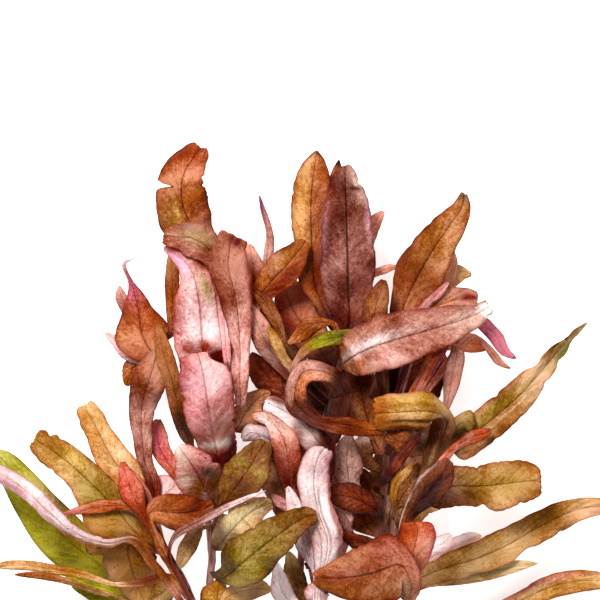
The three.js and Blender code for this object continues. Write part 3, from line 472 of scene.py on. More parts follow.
def leaf_material(name, look):
    """Satin skin of one face of a leaf."""
    material, tree, shader = new_material(name)
    shades = len(LOOK_COLOURS)
    values = [*map(colour, look[:shades]), *look[shades:]]
    skin = add_node(tree, "ShaderNodeGroup", node_tree=leaf_skin)
    plug(tree, skin, dict(zip(LOOK_COLOURS + LOOK_AMOUNTS, values)))
    bump = add_node(tree, "ShaderNodeBump", {
        "Strength": SKIN_BUMP, "Distance": SKIN_BUMP_HEIGHT, "Height": skin.outputs["Height"]})
    plug(tree, shader, {
        "Base Color": skin.outputs["Colour"], "Roughness": skin.outputs["Roughness"],
        "Normal": bump.outputs[0], "Specular IOR Level": SKIN_SHINE})
    return material


leaf_faces = {name: leaf_material(f"leaf_{name}", look) for name, look in LOOKS.items()}

# The large leaves. Each is one thin limp blade, lance-shaped, with a sunk midrib, wavy and a
# little torn at its edges, and grown to its stem at a narrow base. The wilted shoots have
# turned some blades over, so that both faces are seen.
LEAVES = [
    # Node, with leaf_ left off, sky face, ground face, tone, ripple, how blunt its tip is, and
    # its painted marks: the place along the blade, the place across it from its left edge at
    # -1, the two reaches, the colour and the strength. Many marks are the leaf's own colour, and
    # others are painted light: most dark marks at a base or along an overlapped edge are painted
    # shade, and some pale ones are painted highlights. Tears follow: the place, the edge, depth
    # and breadth, and a depth below zero makes the blade broader there.
    ("a1", "rust", "dusk", -0.13, 0.6, 0, [
        (1, 0, 0.022, 2, "20140c", 1.5), (0.05, 0, 0.28, 2, "4c0c06", 1.4),
        (0.38, 0, 0.12, 1.5, "88380e", 0.9), (0.72, -0.6, 0.3, 0.45, "cc985e", 0.8),
        (0.65, 0.6, 0.35, 0.5, "9c5838", 0.6)]),
    ("a2", "mauve", "dusk", -0.08, 0.5, 0.3, [
        (0.1, 0, 0.2, 2, "641e10", 1.1), (0.35, 0.6, 0.25, 0.5, "844430", 0.5),
        (0.9, 0.75, 0.08, 0.35, "c8a898", 0.9), (0.83, -0.9, 0.12, 0.25, "8c3c1c", 0.7),
        (0.65, -0.95, 0.14, 0.16, "d8a4a8", 0.7), (0.72, 0.95, 0.12, 0.16, "e4b0b4", 0.8),
        (0.87, 0.55, 0.012, 0.4, "5c1c0c", 0.9)], (0.9, 1, 0.2, 0.015)),
    # On a3 the pale streak beside the midrib is a painted highlight.
    ("a3", "dusk", "rust", 0, 0.5, 0.7, [
        (0.1, 0, 0.28, 2, "b87a5c", 1.1), (0.33, -0.2, 0.2, 0.25, "f4e0dc", 0.9),
        (0.45, 0.6, 0.1, 0.4, "e0b0a8", 0.5), (0.88, 0.3, 0.14, 0.9, "dcb4a6", 0.7),
        (0.97, 0.2, 0.03, 1.2, "f4eee2", 1.1)], (0.93, -1, 0.4, 0.015), (0.96, 1, 0.3, 0.012)),
    # On a4 the pale mark just before halfway lights the sideways face of its curl: painted light.
    ("a4", "dusk", "maroon", 0, 0.3, 0.2, [
        (0.05, 0, 0.2, 2, "541808", 1.3), (0.38, -0.6, 0.14, 0.7, "dca080", 0.8),
        (0.43, 0.45, 0.09, 0.45, "d8b0a2", 0.9), (0.64, 0, 0.12, 2, "783424", 0.9),
        (0.9, 0, 0.14, 2, "9c5420", 1.2)], (0.78, 1, -0.5, 0.07)),
    ("a5", "white", "mauve", -0.12, 0.6, 0.8, [
        (0.2, 0, 0.22, 2, "98584a", 1.1), (0.35, 0.8, 0.35, 0.6, "5c2014", 1.3),
        (0.62, 0.6, 0.15, 0.5, "7c442c", 1.1), (0.6, -0.6, 0.12, 0.5, "b89488", 0.8),
        (0.9, 0.7, 0.12, 0.4, "9c7468", 0.8)]),
    ("a6", "salmon", "rust", -0.05, 0.6, 0.6, [
        (0.3, -0.6, 0.2, 0.7, "70281e", 1.2), (0.35, 0.6, 0.2, 0.6, "9a5040", 0.9),
        (0.85, 0, 0.18, 1.5, "ecc8be", 0.8)]),
    ("b1", "rust", "dusk", -0.15, 0.7, 0.7, [
        (0.92, 0, 0.15, 1.5, "b4644c", 0.6), (0.4, 0.7, 0.12, 0.4, "a87868", 0.8),
        (0.56, -0.6, 0.1, 0.4, "a07c40", 0.45), (0.62, -0.3, 0.05, 0.1, "e0c080", 0.7)],
        (0.73, -1, 0.75, 0.008), (0.56, -1, -0.25, 0.08)),
    ("b2", "dusk", "dusk", -0.02, 0.5, 0.6, [
        (0.2, 0, 0.26, 2, "eab0b0", 1.2), (0.8, 0.3, 0.12, 0.5, "a88458", 0.6)]),
    # On b3 the thin dark orange arc just before halfway is a painted shadow beside the leaf over
    # it.
    ("b3", "pink", "rust", 0, 0.6, 0.3, [
        (0.85, 0.6, 0.15, 0.6, "cc7c74", 0.7), (0.5, 0.3, 0.3, 0.3, "f8dcdc", 0.6),
        (0.405, -0.25, 0.03, 0.45, "9c3814", 1.7), (0.33, 0.55, 0.05, 0.5, "6c1208", 1.5),
        (0.88, -0.4, 0.08, 0.4, "f4a4c0", 0.9), (0.81, 0.75, 0.035, 0.3, "8c2c18", 1),
        (0.58, -0.3, 0.2, 0.3, "fae6e6", 0.5), (0.72, 0.4, 0.08, 0.2, "a8a850", 0.5),
        (0.6, 0.75, 0.06, 0.15, "a49c58", 0.6)], (0.5, 1, -0.22, 0.2)),
    # On b4 the dark stripe along its right edge is painted shade in the gap beside it.
    ("b4", "dusk", "rust", 0.08, 0.4, 1, [
        (0.1, 0, 0.2, 2, "d09284", 1.1), (0.38, 0, 0.14, 1.5, "eeb8b0", 0.9),
        (0.87, 0, 0.15, 1.5, "a4644c", 0.8), (0.72, 0.97, 0.12, 0.14, "640c08", 1.3),
        (0.97, 0.2, 0.03, 0.6, "6a1410", 0.9)]),
    ("b5", "pink", "mauve", -0.05, 0.5, 0.9, [
        (0.25, 0, 0.26, 2, "905848", 1.2), (0.78, -0.3, 0.18, 0.9, "eab8be", 0.6),
        (0.5, -0.5, 0.12, 0.4, "dc8890", 0.5), (0.28, 0, 0.03, 1.2, "d0bcb2", 0.8),
        (0.14, 0.4, 0.06, 1, "741414", 1.3), (0.2, 1, 0.14, 0.3, "3c1410", 1.4)],
        (0.95, 1, 0.5, 0.07), (0.16, 1, -0.7, 0.12)),
    ("b6", "rust", "rust", 0, 0.5, 0.5, [
        (0.35, -0.5, 0.12, 0.7, "ba6a52", 0.7), (0.6, 0.6, 0.3, 0.5, "8c3a1a", 0.9),
        (0.85, -0.5, 0.15, 0.6, "b47e54", 0.7)]),
    ("b7", "olive", "brown", -0.03, 0.5, 0.6, [
        (0.35, -0.4, 0.15, 0.8, "64341a", 1), (0.38, 0.6, 0.12, 0.7, "561e06", 1.2),
        (0.76, 0, 0.03, 0.9, "a8a038", 0.8), (0.62, 0.4, 0.12, 0.7, "7c4a20", 0.8),
        (0.88, 0, 0.14, 1.2, "9a6c48", 0.9)]),
    ("b8", "pink", "rust", -0.08, 0.6, 0.4, [
        (0.12, 0, 0.15, 2, "462412", 1.2), (0.38, 0, 0.13, 1.5, "8b5636", 1),
        (0.84, -0.4, 0.14, 0.8, "dcc0b2", 0.9), (0.58, -0.6, 0.1, 0.6, "c8a898", 0.7),
        (0.5, 0.6, 0.1, 0.5, "5c4838", 0.7)], (0.6, 1, 0.2, 0.03)),
    ("b9", "tan", "olive", -0.22, 0.6, 0.6, [
        (0.35, 0, 0.15, 1.5, "8e6648", 0.9), (0.88, 0, 0.14, 1.2, "9a7c54", 0.8),
        (0.66, 0.3, 0.008, 0.7, "5c5020", 0.9), (0.6, -0.2, 0.2, 0.5, "b8ac78", 0.6),
        (0.75, -0.1, 0.15, 0.07, "6c5c28", 0.7), (0.72, 0, 0.3, 2, "ccb89c", 0.2)],
        (0.75, -1, 0.35, 0.03), (0.6, -1, 0.25, 0.02)),
    ("b10", "olive", "rust", -0.07, 0.5, 0.6, [
        (0.5, 0.5, 0.15, 0.7, "a4864c", 0.6), (0.9, 0, 0.15, 1.5, "945e3a", 0.7),
        (0.4, 0, 0.35, 2, "84782c", 0.45)]),
    ("c1", "gold", "pink", 0, 0.6, 0.7, [
        (0.12, 0, 0.16, 2, "984e20", 1.1), (0.38, -0.5, 0.12, 0.7, "a2641a", 0.9),
        (0.7, 0.4, 0.14, 0.6, "c49c54", 0.6), (0.5, 0, 0.3, 1.5, "98803a", 0.55)],
        (0.93, 1, 0.3, 0.02), (0.4, -1, -0.9, 0.15)),
    ("c2", "tan", "pink", 0.02, 0.6, 0.8, [(0.38, -0.5, 0.12, 0.7, "d89662", 0.7)]),
    ("c3", "rust", "dusk", -0.08, 0.7, 0.4, [
        (0.38, 0.6, 0.12, 0.6, "8a544a", 0.7), (0.88, 0, 0.15, 1.5, "94482a", 0.8),
        (0.7, 0.4, 0.2, 0.3, "d08a5c", 0.5)], (0.62, 1, -0.3, 0.1)),
    ("c4", "white", "pink", -0.16, 0.5, 0.3, [
        (0.12, 0, 0.2, 2, "984434", 1.3), (0.38, 0, 0.12, 2, "9a6238", 1.2),
        (0.58, -0.7, 0.12, 0.5, "a67654", 1.1), (0.9, -0.5, 0.2, 0.5, "e0b4b8", 0.6)],
        (0.33, 1, -0.5, 0.08)),
    ("c5", "olive", "dusk", 0.5, 0.5, 0.5, [
        (0.38, 0, 0.13, 1.5, "8a5016", 0.9), (0.62, -0.6, 0.12, 0.6, "7e460c", 0.9),
        (0.62, 0.6, 0.12, 0.6, "986c3a", 0.6), (0.88, 0.4, 0.14, 0.8, "8c5c28", 0.7),
        (0.6, 0, 0.4, 2, "a0641c", 0.6)]),
    ("c6", "dusk", "brown", 0, 0.4, 0.5, [
        (0.1, -0.5, 0.15, 0.7, "782816", 1.1), (0.12, 0.6, 0.15, 0.6, "a25c48", 0.7),
        (0.88, 0, 0.15, 1.5, "a8684c", 0.8)]),
    ("d1", "rust", "dusk", -0.12, 0.4, 0, [
        (0.45, 0.2, 0.2, 0.8, "a85830", 0.8), (0.12, -0.5, 0.15, 0.8, "985236", 0.8),
        (0.55, 0.2, 0.1, 0.8, "b46a48", 0.6), (0.72, 0, 0.12, 1.5, "c4707c", 0.9),
        (0.97, 0, 0.12, 1.5, "f0d8dc", 1.2)]),
    ("d2", "olive", "brown", 0, 0.3, 0.2, [
        (0.4, 0, 0.5, 2, "7c5230", 0.45), (0.4, -0.6, 0.35, 0.5, "98604a", 0.7),
        (0.4, 0.6, 0.35, 0.5, "804a22", 0.9), (0.78, 0, 0.25, 2, "98562c", 0.9)]),
    ("d3", "salmon", "pink", -0.05, 0.4, 0.4, [(0.75, 0, 0.25, 0.8, "d4707c", 0.7)]),
    ("e1", "rust", "dusk", -0.05, 0.6, 0.3, [
        (0.08, 0, 0.18, 2, "3c0804", 1.4), (0.38, -0.6, 0.12, 0.6, "702206", 1.1),
        (0.38, 0.5, 0.12, 0.6, "9a4a30", 0.7), (0.62, 0, 0.12, 1.5, "8c4620", 0.8),
        (0.8, 0, 0.2, 2, "b8845c", 0.7), (1, 0, 0.035, 2, "8c7058", 1.2)], (0.1, -1, -0.8, 0.08)),
    ("e2", "dusk", "dusk", 0.2, 0.5, 0.7, [
        (0.7, 0.3, 0.2, 0.8, "c47c50", 0.7), (0.94, -0.1, 0.05, 0.35, "7c1c08", 1.3)]),
    ("e3", "maroon", "brown", 0.4, 0.4, 0.3, []),
    ("e4", "maroon", "dusk", 0, 0.4, 0.6, []),
    ("e5", "dusk", "brown", 0.08, 0.4, 0.5, [
        (0.6, 0, 0.4, 1.5, "a4847a", 0.6)], (0.8, -1, -0.4, 0.2), (0.7, 1, -0.3, 0.25)),
    # On f1 the dark base is painted shade over its stalk.
    ("f1", "gold", "brown", 0.04, 0.4, 1, [
        (0.2, 0, 0.26, 2, "542410", 1.5), (0.58, 0.3, 0.07, 1.2, "8c5c48", 1.3),
        (0.8, -0.5, 0.3, 0.1, "6c3c10", 0.9), (0.85, 0.35, 0.2, 0.09, "8c5424", 1),
        (0.85, -0.9, 0.2, 0.12, "743414", 0.9), (0.82, 0.5, 0.15, 0.4, "b8924c", 0.7),
        (0.99, 0, 0.06, 2, "b4703c", 1)], (0.57, -1, -0.6, 0.06), (0.46, -1, -0.6, 0.06)),
    ("f2", "olive", "mauve", -0.05, 0.4, 0.6, [
        (0.4, -0.5, 0.25, 0.4, "9c6a50", 0.7), (0.6, 0.4, 0.3, 0.6, "685018", 0.7)]),
    ("f3", "gold", "rust", -0.05, 0.7, 0.1, [
        (0.5, 0, 0.35, 1.5, "b4866a", 0.5), (0.85, 0, 0.16, 1.5, "9c8460", 0.9),
        (0.85, 0.6, 0.1, 0.3, "84903c", 0.7), (0.4, 0.3, 0.2, 0.08, "e8d0a0", 0.35),
        (0.35, -0.3, 0.2, 0.4, "a48a44", 0.6)],
        (0.4, -1, 0.15, 0.02), (0.62, 1, 0.2, 0.02), (0.87, -1, 0.5, 0.05), (0.88, 1, 0.55, 0.05),
        (0.66, -1, 0.3, 0.04), (0.75, 1, 0.35, 0.03)),
    ("f4", "gold", "rust", -0.08, 0.6, 0.75, [
        (0.38, 0.5, 0.14, 0.7, "9c643c", 0.7), (0.88, 0, 0.13, 1.5, "b47c4a", 0.7),
        (0.22, 0, 0.12, 2, "94604c", 0.8), (1, 0, 0.02, 2, "a0484c", 1.1),
        (0.68, 0, 0.22, 0.6, "9c7828", 0.7)],
        (0.28, -1, 0.25, 0.02), (0.52, 1, 0.2, 0.03), (0.8, 1, 0.12, 0.02), (0.62, 1, -0.15, 0.1)),
    ("f5", "brown", "brown", -0.05, 0.5, 0.4, [
        (0.5, 0, 0.5, 2, "7c4420", 0.5), (0.38, -0.5, 0.12, 0.7, "9a421e", 0.8),
        (0.62, -0.5, 0.12, 0.5, "8a5a32", 0.7), (0.65, 0.6, 0.14, 0.6, "501e0a", 1.1),
        (0.9, 0, 0.13, 1.5, "70361a", 0.8), (0.45, -0.97, 0.35, 0.14, "f0dcd4", 1.3),
        (0.72, 0, 0.2, 0.5, "441404", 0.9)]),
    ("g1", "salmon", "dusk", -0.14, 0.6, 0.8, [
        (0.65, 0.4, 0.1, 0.7, "a05830", 0.8), (0.9, -0.5, 0.14, 0.7, "b85c30", 0.8),
        (0.85, 0.95, 0.2, 0.14, "c8606c", 0.6)]),
    ("g2", "gold", "rust", 0.18, 0.7, 0.3, [
        (0.12, 0, 0.14, 1, "a4602c", 0.7), (0.9, 0.4, 0.14, 0.8, "c48868", 0.8),
        (0.5, 0, 0.4, 1.5, "b08448", 0.5)],
        (0.3, -1, 0.2, 0.02), (0.42, 1, 0.2, 0.03), (0.6, 1, 0.25, 0.03)),
    ("g3", "tan", "olive", 0.15, 0.4, 0.1, [(0.7, 0, 0.4, 0.9, "a89c68", 0.6)]),
    ("g4", "rust", "dusk", -0.04, 0.6, 0.4, [
        (0.38, -0.6, 0.12, 0.6, "b49070", 0.7), (0.6, 0.6, 0.1, 0.5, "b0605c", 0.9),
        (0.8, 0.2, 0.3, 0.4, "a06054", 0.6), (0.55, 0, 0.4, 2, "a4684c", 0.5),
        (0.7, -0.7, 0.3, 0.4, "b88c70", 0.5)]),
    ("g5", "tan", "rust", -0.22, 0.6, 0.5, [(0.6, -0.7, 0.3, 0.3, "d49a90", 0.6)]),
    # On h1 the dark mark along its right edge towards the tip is painted shade.
    ("h1", "white", "pink", -0.06, 0.6, 0.8, [
        (0, 0, 0.16, 2, "8c5448", 1.2), (0.38, 0.7, 0.12, 0.5, "a88480", 1),
        (0.62, 0.9, 0.13, 0.2, "a07068", 1.1), (0.62, -0.5, 0.12, 0.6, "d4b6ae", 0.6),
        (0.9, 0.7, 0.12, 0.4, "d6b0b2", 0.8), (0.5, 0.2, 0.35, 0.06, "8c7c74", 0.8),
        (0.45, -0.4, 0.3, 0.05, "a08c84", 0.7), (0.82, 1, 0.14, 0.14, "6c2818", 1.4)]),
    ("i1", "green", "olive", 0.06, 0, 0.4, [
        (0.38, 0.6, 0.14, 0.6, "987224", 0.8), (0.62, 0.7, 0.12, 0.4, "b09472", 0.8),
        (0.35, -0.5, 0.3, 0.5, "8c840c", 0.6), (0.9, 0, 0.13, 1.5, "b8b45a", 0.9)],
        (0.36, -1, -0.08, 0.12)),
    # The under leaves lie among the stems; the dark faces and low tone of most of them are painted
    # shade in the gaps.
    ("under1", "maroon", "dusk", -0.1, 0.5, 0.4, []),
    ("under2", "maroon", "mauve", -0.15, 0.5, 0.4, []),
    ("under3", "rust", "pink", -0.1, 0.5, 0.4, []),
    ("under4", "gold", "dusk", 0.12, 0.5, 0.4, []),
    ("under5", "brown", "pink", -0.1, 0.5, 0.4, []),
    ("low1", "olive", "dusk", 0, 0.5, 0.4, []),
    ("low2", "olive", "dusk", 0, 0.5, 0.4, []),
    ("low3", "green", "olive", 0, 0.5, 0.4, []),
    ("low4", "green", "olive", 0, 0.5, 0.4, []),
]
LARGE_GRID = (112, 26)
LARGE_SIDES = 8
MERGE_DISTANCE = 0.000001
BLADE_THICKNESS = 0.00028
BLADE_ENDS = (0.003, 0.995)
LOWEST = 0.00016
BASE_REACH = 0.0009
SMALLEST_REACH = 0.0001
FULL_SIZE_REACH = 0.006
WAVE_LENGTH = 0.009
WAVES_ADDED = 5
EDGE_WAVES = 0.001
BROAD_WAVES = 0.0006
FINE_WAVES = 0.00022
EDGE_CURL = 0.0013
RIB_DEPTH = 0.00028
RIB_BREADTH = 0.0005
EDGE_SWAY = 0.045
EDGE_WEAR = 0.02
NICK_COUNTS = (2, 4)
NICK_PLACES = (0.25, 0.97)
NICK_DEPTHS = (0.03, 0.12)
NICK_BREADTHS = (0.006, 0.022)
TIP_WEAR = 0.025
TIP_TAPER = 0.85
TONE_WAVES = 0.1
SIDE_TONE = 0.09


def merged_copy(node):
    """A node's mesh with its loose triangles joined."""
    solid = bmesh.new()
    solid.from_mesh(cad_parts[node].data)
    bmesh.ops.remove_doubles(solid, verts=solid.verts, dist=MERGE_DISTANCE)
    return solid


def neighbours(point):
    """The points joined to a point by an edge."""
    return {edge.other_vert(point) for edge in point.link_edges}


def in_order(ring, towards):
    """The points of a closed ring in order round it, clockwise as seen from the leaf's tip."""
    walk = [min(ring, key=lambda point: point.index)]
    while len(walk) < len(ring):
        onwards = (neighbours(walk[-1]) & ring).difference(walk)
        walk.append(min(onwards, key=lambda point: point.index))
    middle = sum((point.co for point in walk), Vector()) / len(walk)
    area = Vector()
    for here, after in zip(walk, walk[1:] + walk[:1]):
        area += (here.co - middle).cross(after.co - middle)
    return walk if area.dot(towards - middle) < 0 else walk[::-1]


def rings_from_tip(tip):
    """The rings of a leaf's solid from its tip to its base, each from the same side on, and
    the points beyond the last one."""
    ring = in_order(neighbours(tip), tip.co)
    rings = [ring]
    passed = set(ring) | {tip}
    while True:
        count = len(ring)
        below = [neighbours(point) - passed for point in ring]
        if any(len(found) != 2 for found in below):
            break
        straight = [below[i] & below[i - 1] for i in range(count)]
        if any(len(found) != 1 for found in straight):
            break
        following = [next(iter(found)) for found in straight]
        joined = all(after in neighbours(here)
                     for here, after in zip(following, following[1:] + following[:1]))
        if len(set(following)) != count or not joined:
            break
        ring = following
        rings.append(ring)
        passed |= set(ring)
    return rings, set().union(*[neighbours(point) - passed for point in ring])


def blade_points(tip, rings, base):
    """Rows of points midway between a blade's faces, from base to tip and right to left."""
    sides = len(rings[0])
    half = sides // 2
    places = np.array([[point.co[:] for point in ring] for ring in rings])

    def faces(start):
        return [places[:, [(start + way * i) % sides for i in range(1, half)]] for way in (1, -1)]

    def thickness(start):
        upper, lower = faces(start)
        return np.linalg.norm(upper - lower, axis=2).sum()

    start = min(range(half), key=thickness)
    breadths = np.linalg.norm(places[:, start] - places[:, start + half], axis=1)
    upper, lower = [face[np.argmax(breadths), :, 2].sum() for face in faces(start)]
    if upper < lower:
        start += half
    right, left = [places[:, (start + i) % sides, None] for i in (0, half)]
    rows = np.concatenate([right, sum(faces(start)) / 2, left], axis=1)[::-1]
    first, last = [np.full((1, half + 1, 3), end) for end in (base, tip.co[:])]
    return np.concatenate([first, rows, last])


def curve_shares(places, count):
    """The shares that so many points have in a smooth curve through them, at places counted
    in points. The curve goes on straight past its ends."""
    low = np.clip(np.floor(places).astype(int), 0, count - 2)
    past = places - low
    shares = np.zeros((len(places), count + 2))
    rows = np.arange(len(places))
    for step_on, share in enumerate((
            -past + 2 * past ** 2 - past ** 3, 2 - 5 * past ** 2 + 3 * past ** 3,
            past + 4 * past ** 2 - 3 * past ** 3, -past ** 2 + past ** 3)):
        shares[rows, low + step_on] += share / 2
    shares[:, 1] += 2 * shares[:, 0]
    shares[:, 2] -= shares[:, 0]
    shares[:, -2] += 2 * shares[:, -1]
    shares[:, -3] -= shares[:, -1]
    return shares[:, 1:-1]


def waves(dice, along, across, lengthwise, crosswise):
    """A smooth random relief from about -1 to 1 with about that many waves each way."""
    total = np.zeros(np.broadcast(along, across).shape)
    for _ in range(WAVES_ADDED):
        total += np.sin(2 * np.pi * (dice.uniform(0.5, 1.2) * lengthwise * along
                                     + dice.uniform(-1, 1) * crosswise * across
                                     + dice.random()))
    return total / 3


def nicked(dice, along, side, ripple):
    """How much a blade's edges go out and in along it, as shares of its half breadth."""
    uneven = EDGE_SWAY * waves(dice, along, side * 3.1, 4, 1.0)
    uneven += EDGE_WEAR * waves(dice, along, side, 17, 1.0)
    for _ in range(dice.randint(*NICK_COUNTS)):
        place = dice.uniform(*NICK_PLACES)
        depth = dice.uniform(*NICK_DEPTHS)
        edge = dice.choice([-1, 1])
        uneven = uneven - depth * (side == edge) * bell(along - place, dice.uniform(*NICK_BREADTHS))
    return uneven * min(1.0, 2 * ripple)


def relief_of(dice, along, across, reach, length, ripple):
    """The waves, the curled edges and the sunk rib of a blade, as heights over its surface."""
    side = np.sign(across)
    size = min(1.0, reach.max() / FULL_SIZE_REACH)
    fade = np.clip(reach / reach.max() * 2.2, 0, 1) * np.clip(along / 0.15, 0, 1)
    periods = length / WAVE_LENGTH
    relief = EDGE_WAVES * np.abs(across) ** 2.2 * waves(dice, along, side * 0.7 + 1.3, periods, 1.0)
    relief += BROAD_WAVES * waves(dice, along, across, periods * 0.5, 0.8)
    relief += FINE_WAVES * waves(dice, along, across, periods * 1.2, 2.2)
    curled = EDGE_CURL * np.clip((np.abs(across) - 0.6) / 0.4, 0, 1) ** 2
    relief -= curled * np.clip(0.2 + waves(dice, along, side * 2.7, periods * 0.3, 1.0), 0, 1)
    return (relief * ripple * size - RIB_DEPTH * bell(across * reach, RIB_BREADTH)) * fade


def blade_surface(dice, rows, along, across, ripple, tip, tears):
    """The places of a blade's grid, on a smooth surface through rows of points, with a worn
    tip, nicked and torn edges and a wavy relief."""
    side = np.sign(across)
    grid = np.broadcast(along, across).shape
    count = len(rows)
    middles = rows[:, rows.shape[1] // 2]
    reaches = np.linalg.norm(rows[:, 0] - rows[:, -1], axis=1) / 2
    reaches[0] = BASE_REACH
    shapes = (rows - middles[:, None]) / np.maximum(reaches, SMALLEST_REACH)[:, None, None]
    shapes[0] = shapes[1]
    shapes[-1] = shapes[-2]
    gone = distances_along(middles)

    worn = 0.6 * waves(dice, along * 0, across, 1, 0.5)
    worn += 0.25 * waves(dice, along * 0, across, 1, 2.5)
    ragged = 1 - tip * TIP_WEAR * (1 + worn) * along ** 6
    row_places = np.interp((along * ragged * gone[-1]).ravel(), gone, np.arange(count))
    uneven = nicked(dice, along, side, ripple)
    swell = np.zeros(grid)
    for place, edge, depth, breadth in tears:
        share = (side == -edge) * bell(along - place, breadth)
        uneven = uneven - max(depth, 0) * share
        swell += max(-depth, 0) * share * np.abs(across)
    spread = across * (1 + uneven * np.abs(across) ** 1.5)
    column_places = (np.clip(spread, -1.05, 1.05) + 1) / 2 * (rows.shape[1] - 1)

    row_shares = curve_shares(row_places, count)
    column_shares = curve_shares(column_places.ravel(), rows.shape[1])
    past = np.clip(row_places - (count - 2), 0, 0.999)
    squareness = 2 + 2 * tip ** 4
    blunt = (1 - past ** squareness) ** (1 / squareness)
    reach = np.where(past > 0, reaches[-2] * ((1 - tip) * (1 - past) ** TIP_TAPER + tip * blunt),
                     row_shares @ reaches)
    surface = row_shares @ middles + np.maximum(reach, SMALLEST_REACH)[:, None] * np.einsum(
        "nr,nc,rcx->nx", row_shares, column_shares, shapes)
    surface = surface.reshape(*grid, 3)
    spine = surface[:, grid[1] // 2, None]
    surface = spine + (surface - spine) * (1 + swell)[:, :, None]
    normal = np.cross(np.gradient(surface, axis=0), np.gradient(surface, axis=1))
    normal /= np.maximum(np.linalg.norm(normal, axis=2, keepdims=True), 1e-12)
    relief = relief_of(dice, along, across, reach.reshape(grid), gone[-1], ripple)
    surface += normal * relief[:, :, None]
    surface[:, :, 2] = np.maximum(surface[:, :, 2], LOWEST)
    return surface


def painted_with(dice, along, across, marks):
    """The colour of the paint on a blade's grid, own colour, painted highlights and painted
    shade alike, and how much of the skin it covers.
    """
    painted = np.zeros((*np.broadcast(along, across).shape, 4))
    for place, edge, length, breadth, code, strength in marks:
        wander = waves(dice, along, across, 3, 1.2)
        share = bell(along - place, length) * bell(-across - edge, breadth)
        share = np.clip(strength * share * (1.25 + 0.4 * wander), 0, 1)[:, :, None]
        kept = painted[:, :, 3:] * (1 - share)
        painted[:, :, :3] = (painted[:, :, :3] * kept + np.array(colour(code)[:3]) * share
                             ) / np.maximum(kept + share, 0.000001)
        painted[:, :, 3:] = kept + share
    return painted


def make_leaf(name, rows, sky, ground, tone, ripple, tip, marks, tears, counts):
    """A thin wavy blade through rows of points, with its two faces, tone and painted marks."""
    dice = random.Random(name)
    bpy.ops.object.select_all(action="DESELECT")
    bpy.ops.mesh.primitive_grid_add(x_subdivisions=counts[0], y_subdivisions=counts[1],
                                    size=1, location=(0, 0, 0))
    leaf = bpy.context.object
    leaf.name = name
    flat = np.empty(len(leaf.data.vertices) * 3, np.float32)
    leaf.data.vertices.foreach_get("co", flat)
    flat = flat.reshape(-1, 3)
    order = tuple(np.rint((flat[:, i] + 0.5) * counts[i]).astype(int) for i in (0, 1))

    along = np.linspace(*BLADE_ENDS, counts[0] + 1)[:, None]
    across = np.linspace(-1, 1, counts[1] + 1)[None, :]
    surface = blade_surface(dice, rows, along, across, ripple, tip, tears)
    shade = tone + TONE_WAVES * waves(dice, along, across, 2.5, 0.6)
    shade += np.sign(across) * dice.uniform(-SIDE_TONE, SIDE_TONE)
    painted = painted_with(dice, along, across, marks)
    leaf.data.vertices.foreach_set("co", surface[order].astype(np.float32).ravel())
    for attribute, kind, key, values in (
            ("tone", "FLOAT", "value", shade), ("paint", "FLOAT_COLOR", "color", painted)):
        added = leaf.data.attributes.new(attribute, kind, "POINT")
        added.data.foreach_set(key, values[order].astype(np.float32).ravel())
    leaf.data.materials.append(leaf_faces[sky])
    leaf.data.materials.append(leaf_faces[ground])
    leaf.data.shade_smooth()
    shell = leaf.modifiers.new("blade", "SOLIDIFY")
    shell.thickness = BLADE_THICKNESS
    shell.offset = 0
    shell.material_offset = 1
    bpy.ops.object.modifier_apply(modifier="blade")
    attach(leaf, "root")
    return leaf


def far_from_stems(point):
    """How far a point is from the nearest stem."""
    return min(np.linalg.norm(line - np.array(point.co[:]), axis=1).min()
               for line in stem_lines.values())


for name, sky, ground, tone, ripple, tip_shape, marks, *tears in LEAVES:
    node = f"leaf_{name}"
    solid = merged_copy(node)
    poles = [point for point in solid.verts if len(point.link_edges) == LARGE_SIDES]
    tip = max(poles, key=far_from_stems)
    rings, beyond = rings_from_tip(tip)
    rows = blade_points(tip, rings, next(iter(beyond)).co[:])
    solid.free()
    leaf = make_leaf(f"{node}_blade", rows, sky, ground, tone, ripple, tip_shape, marks, tears,
                     LARGE_GRID)
    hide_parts(node)

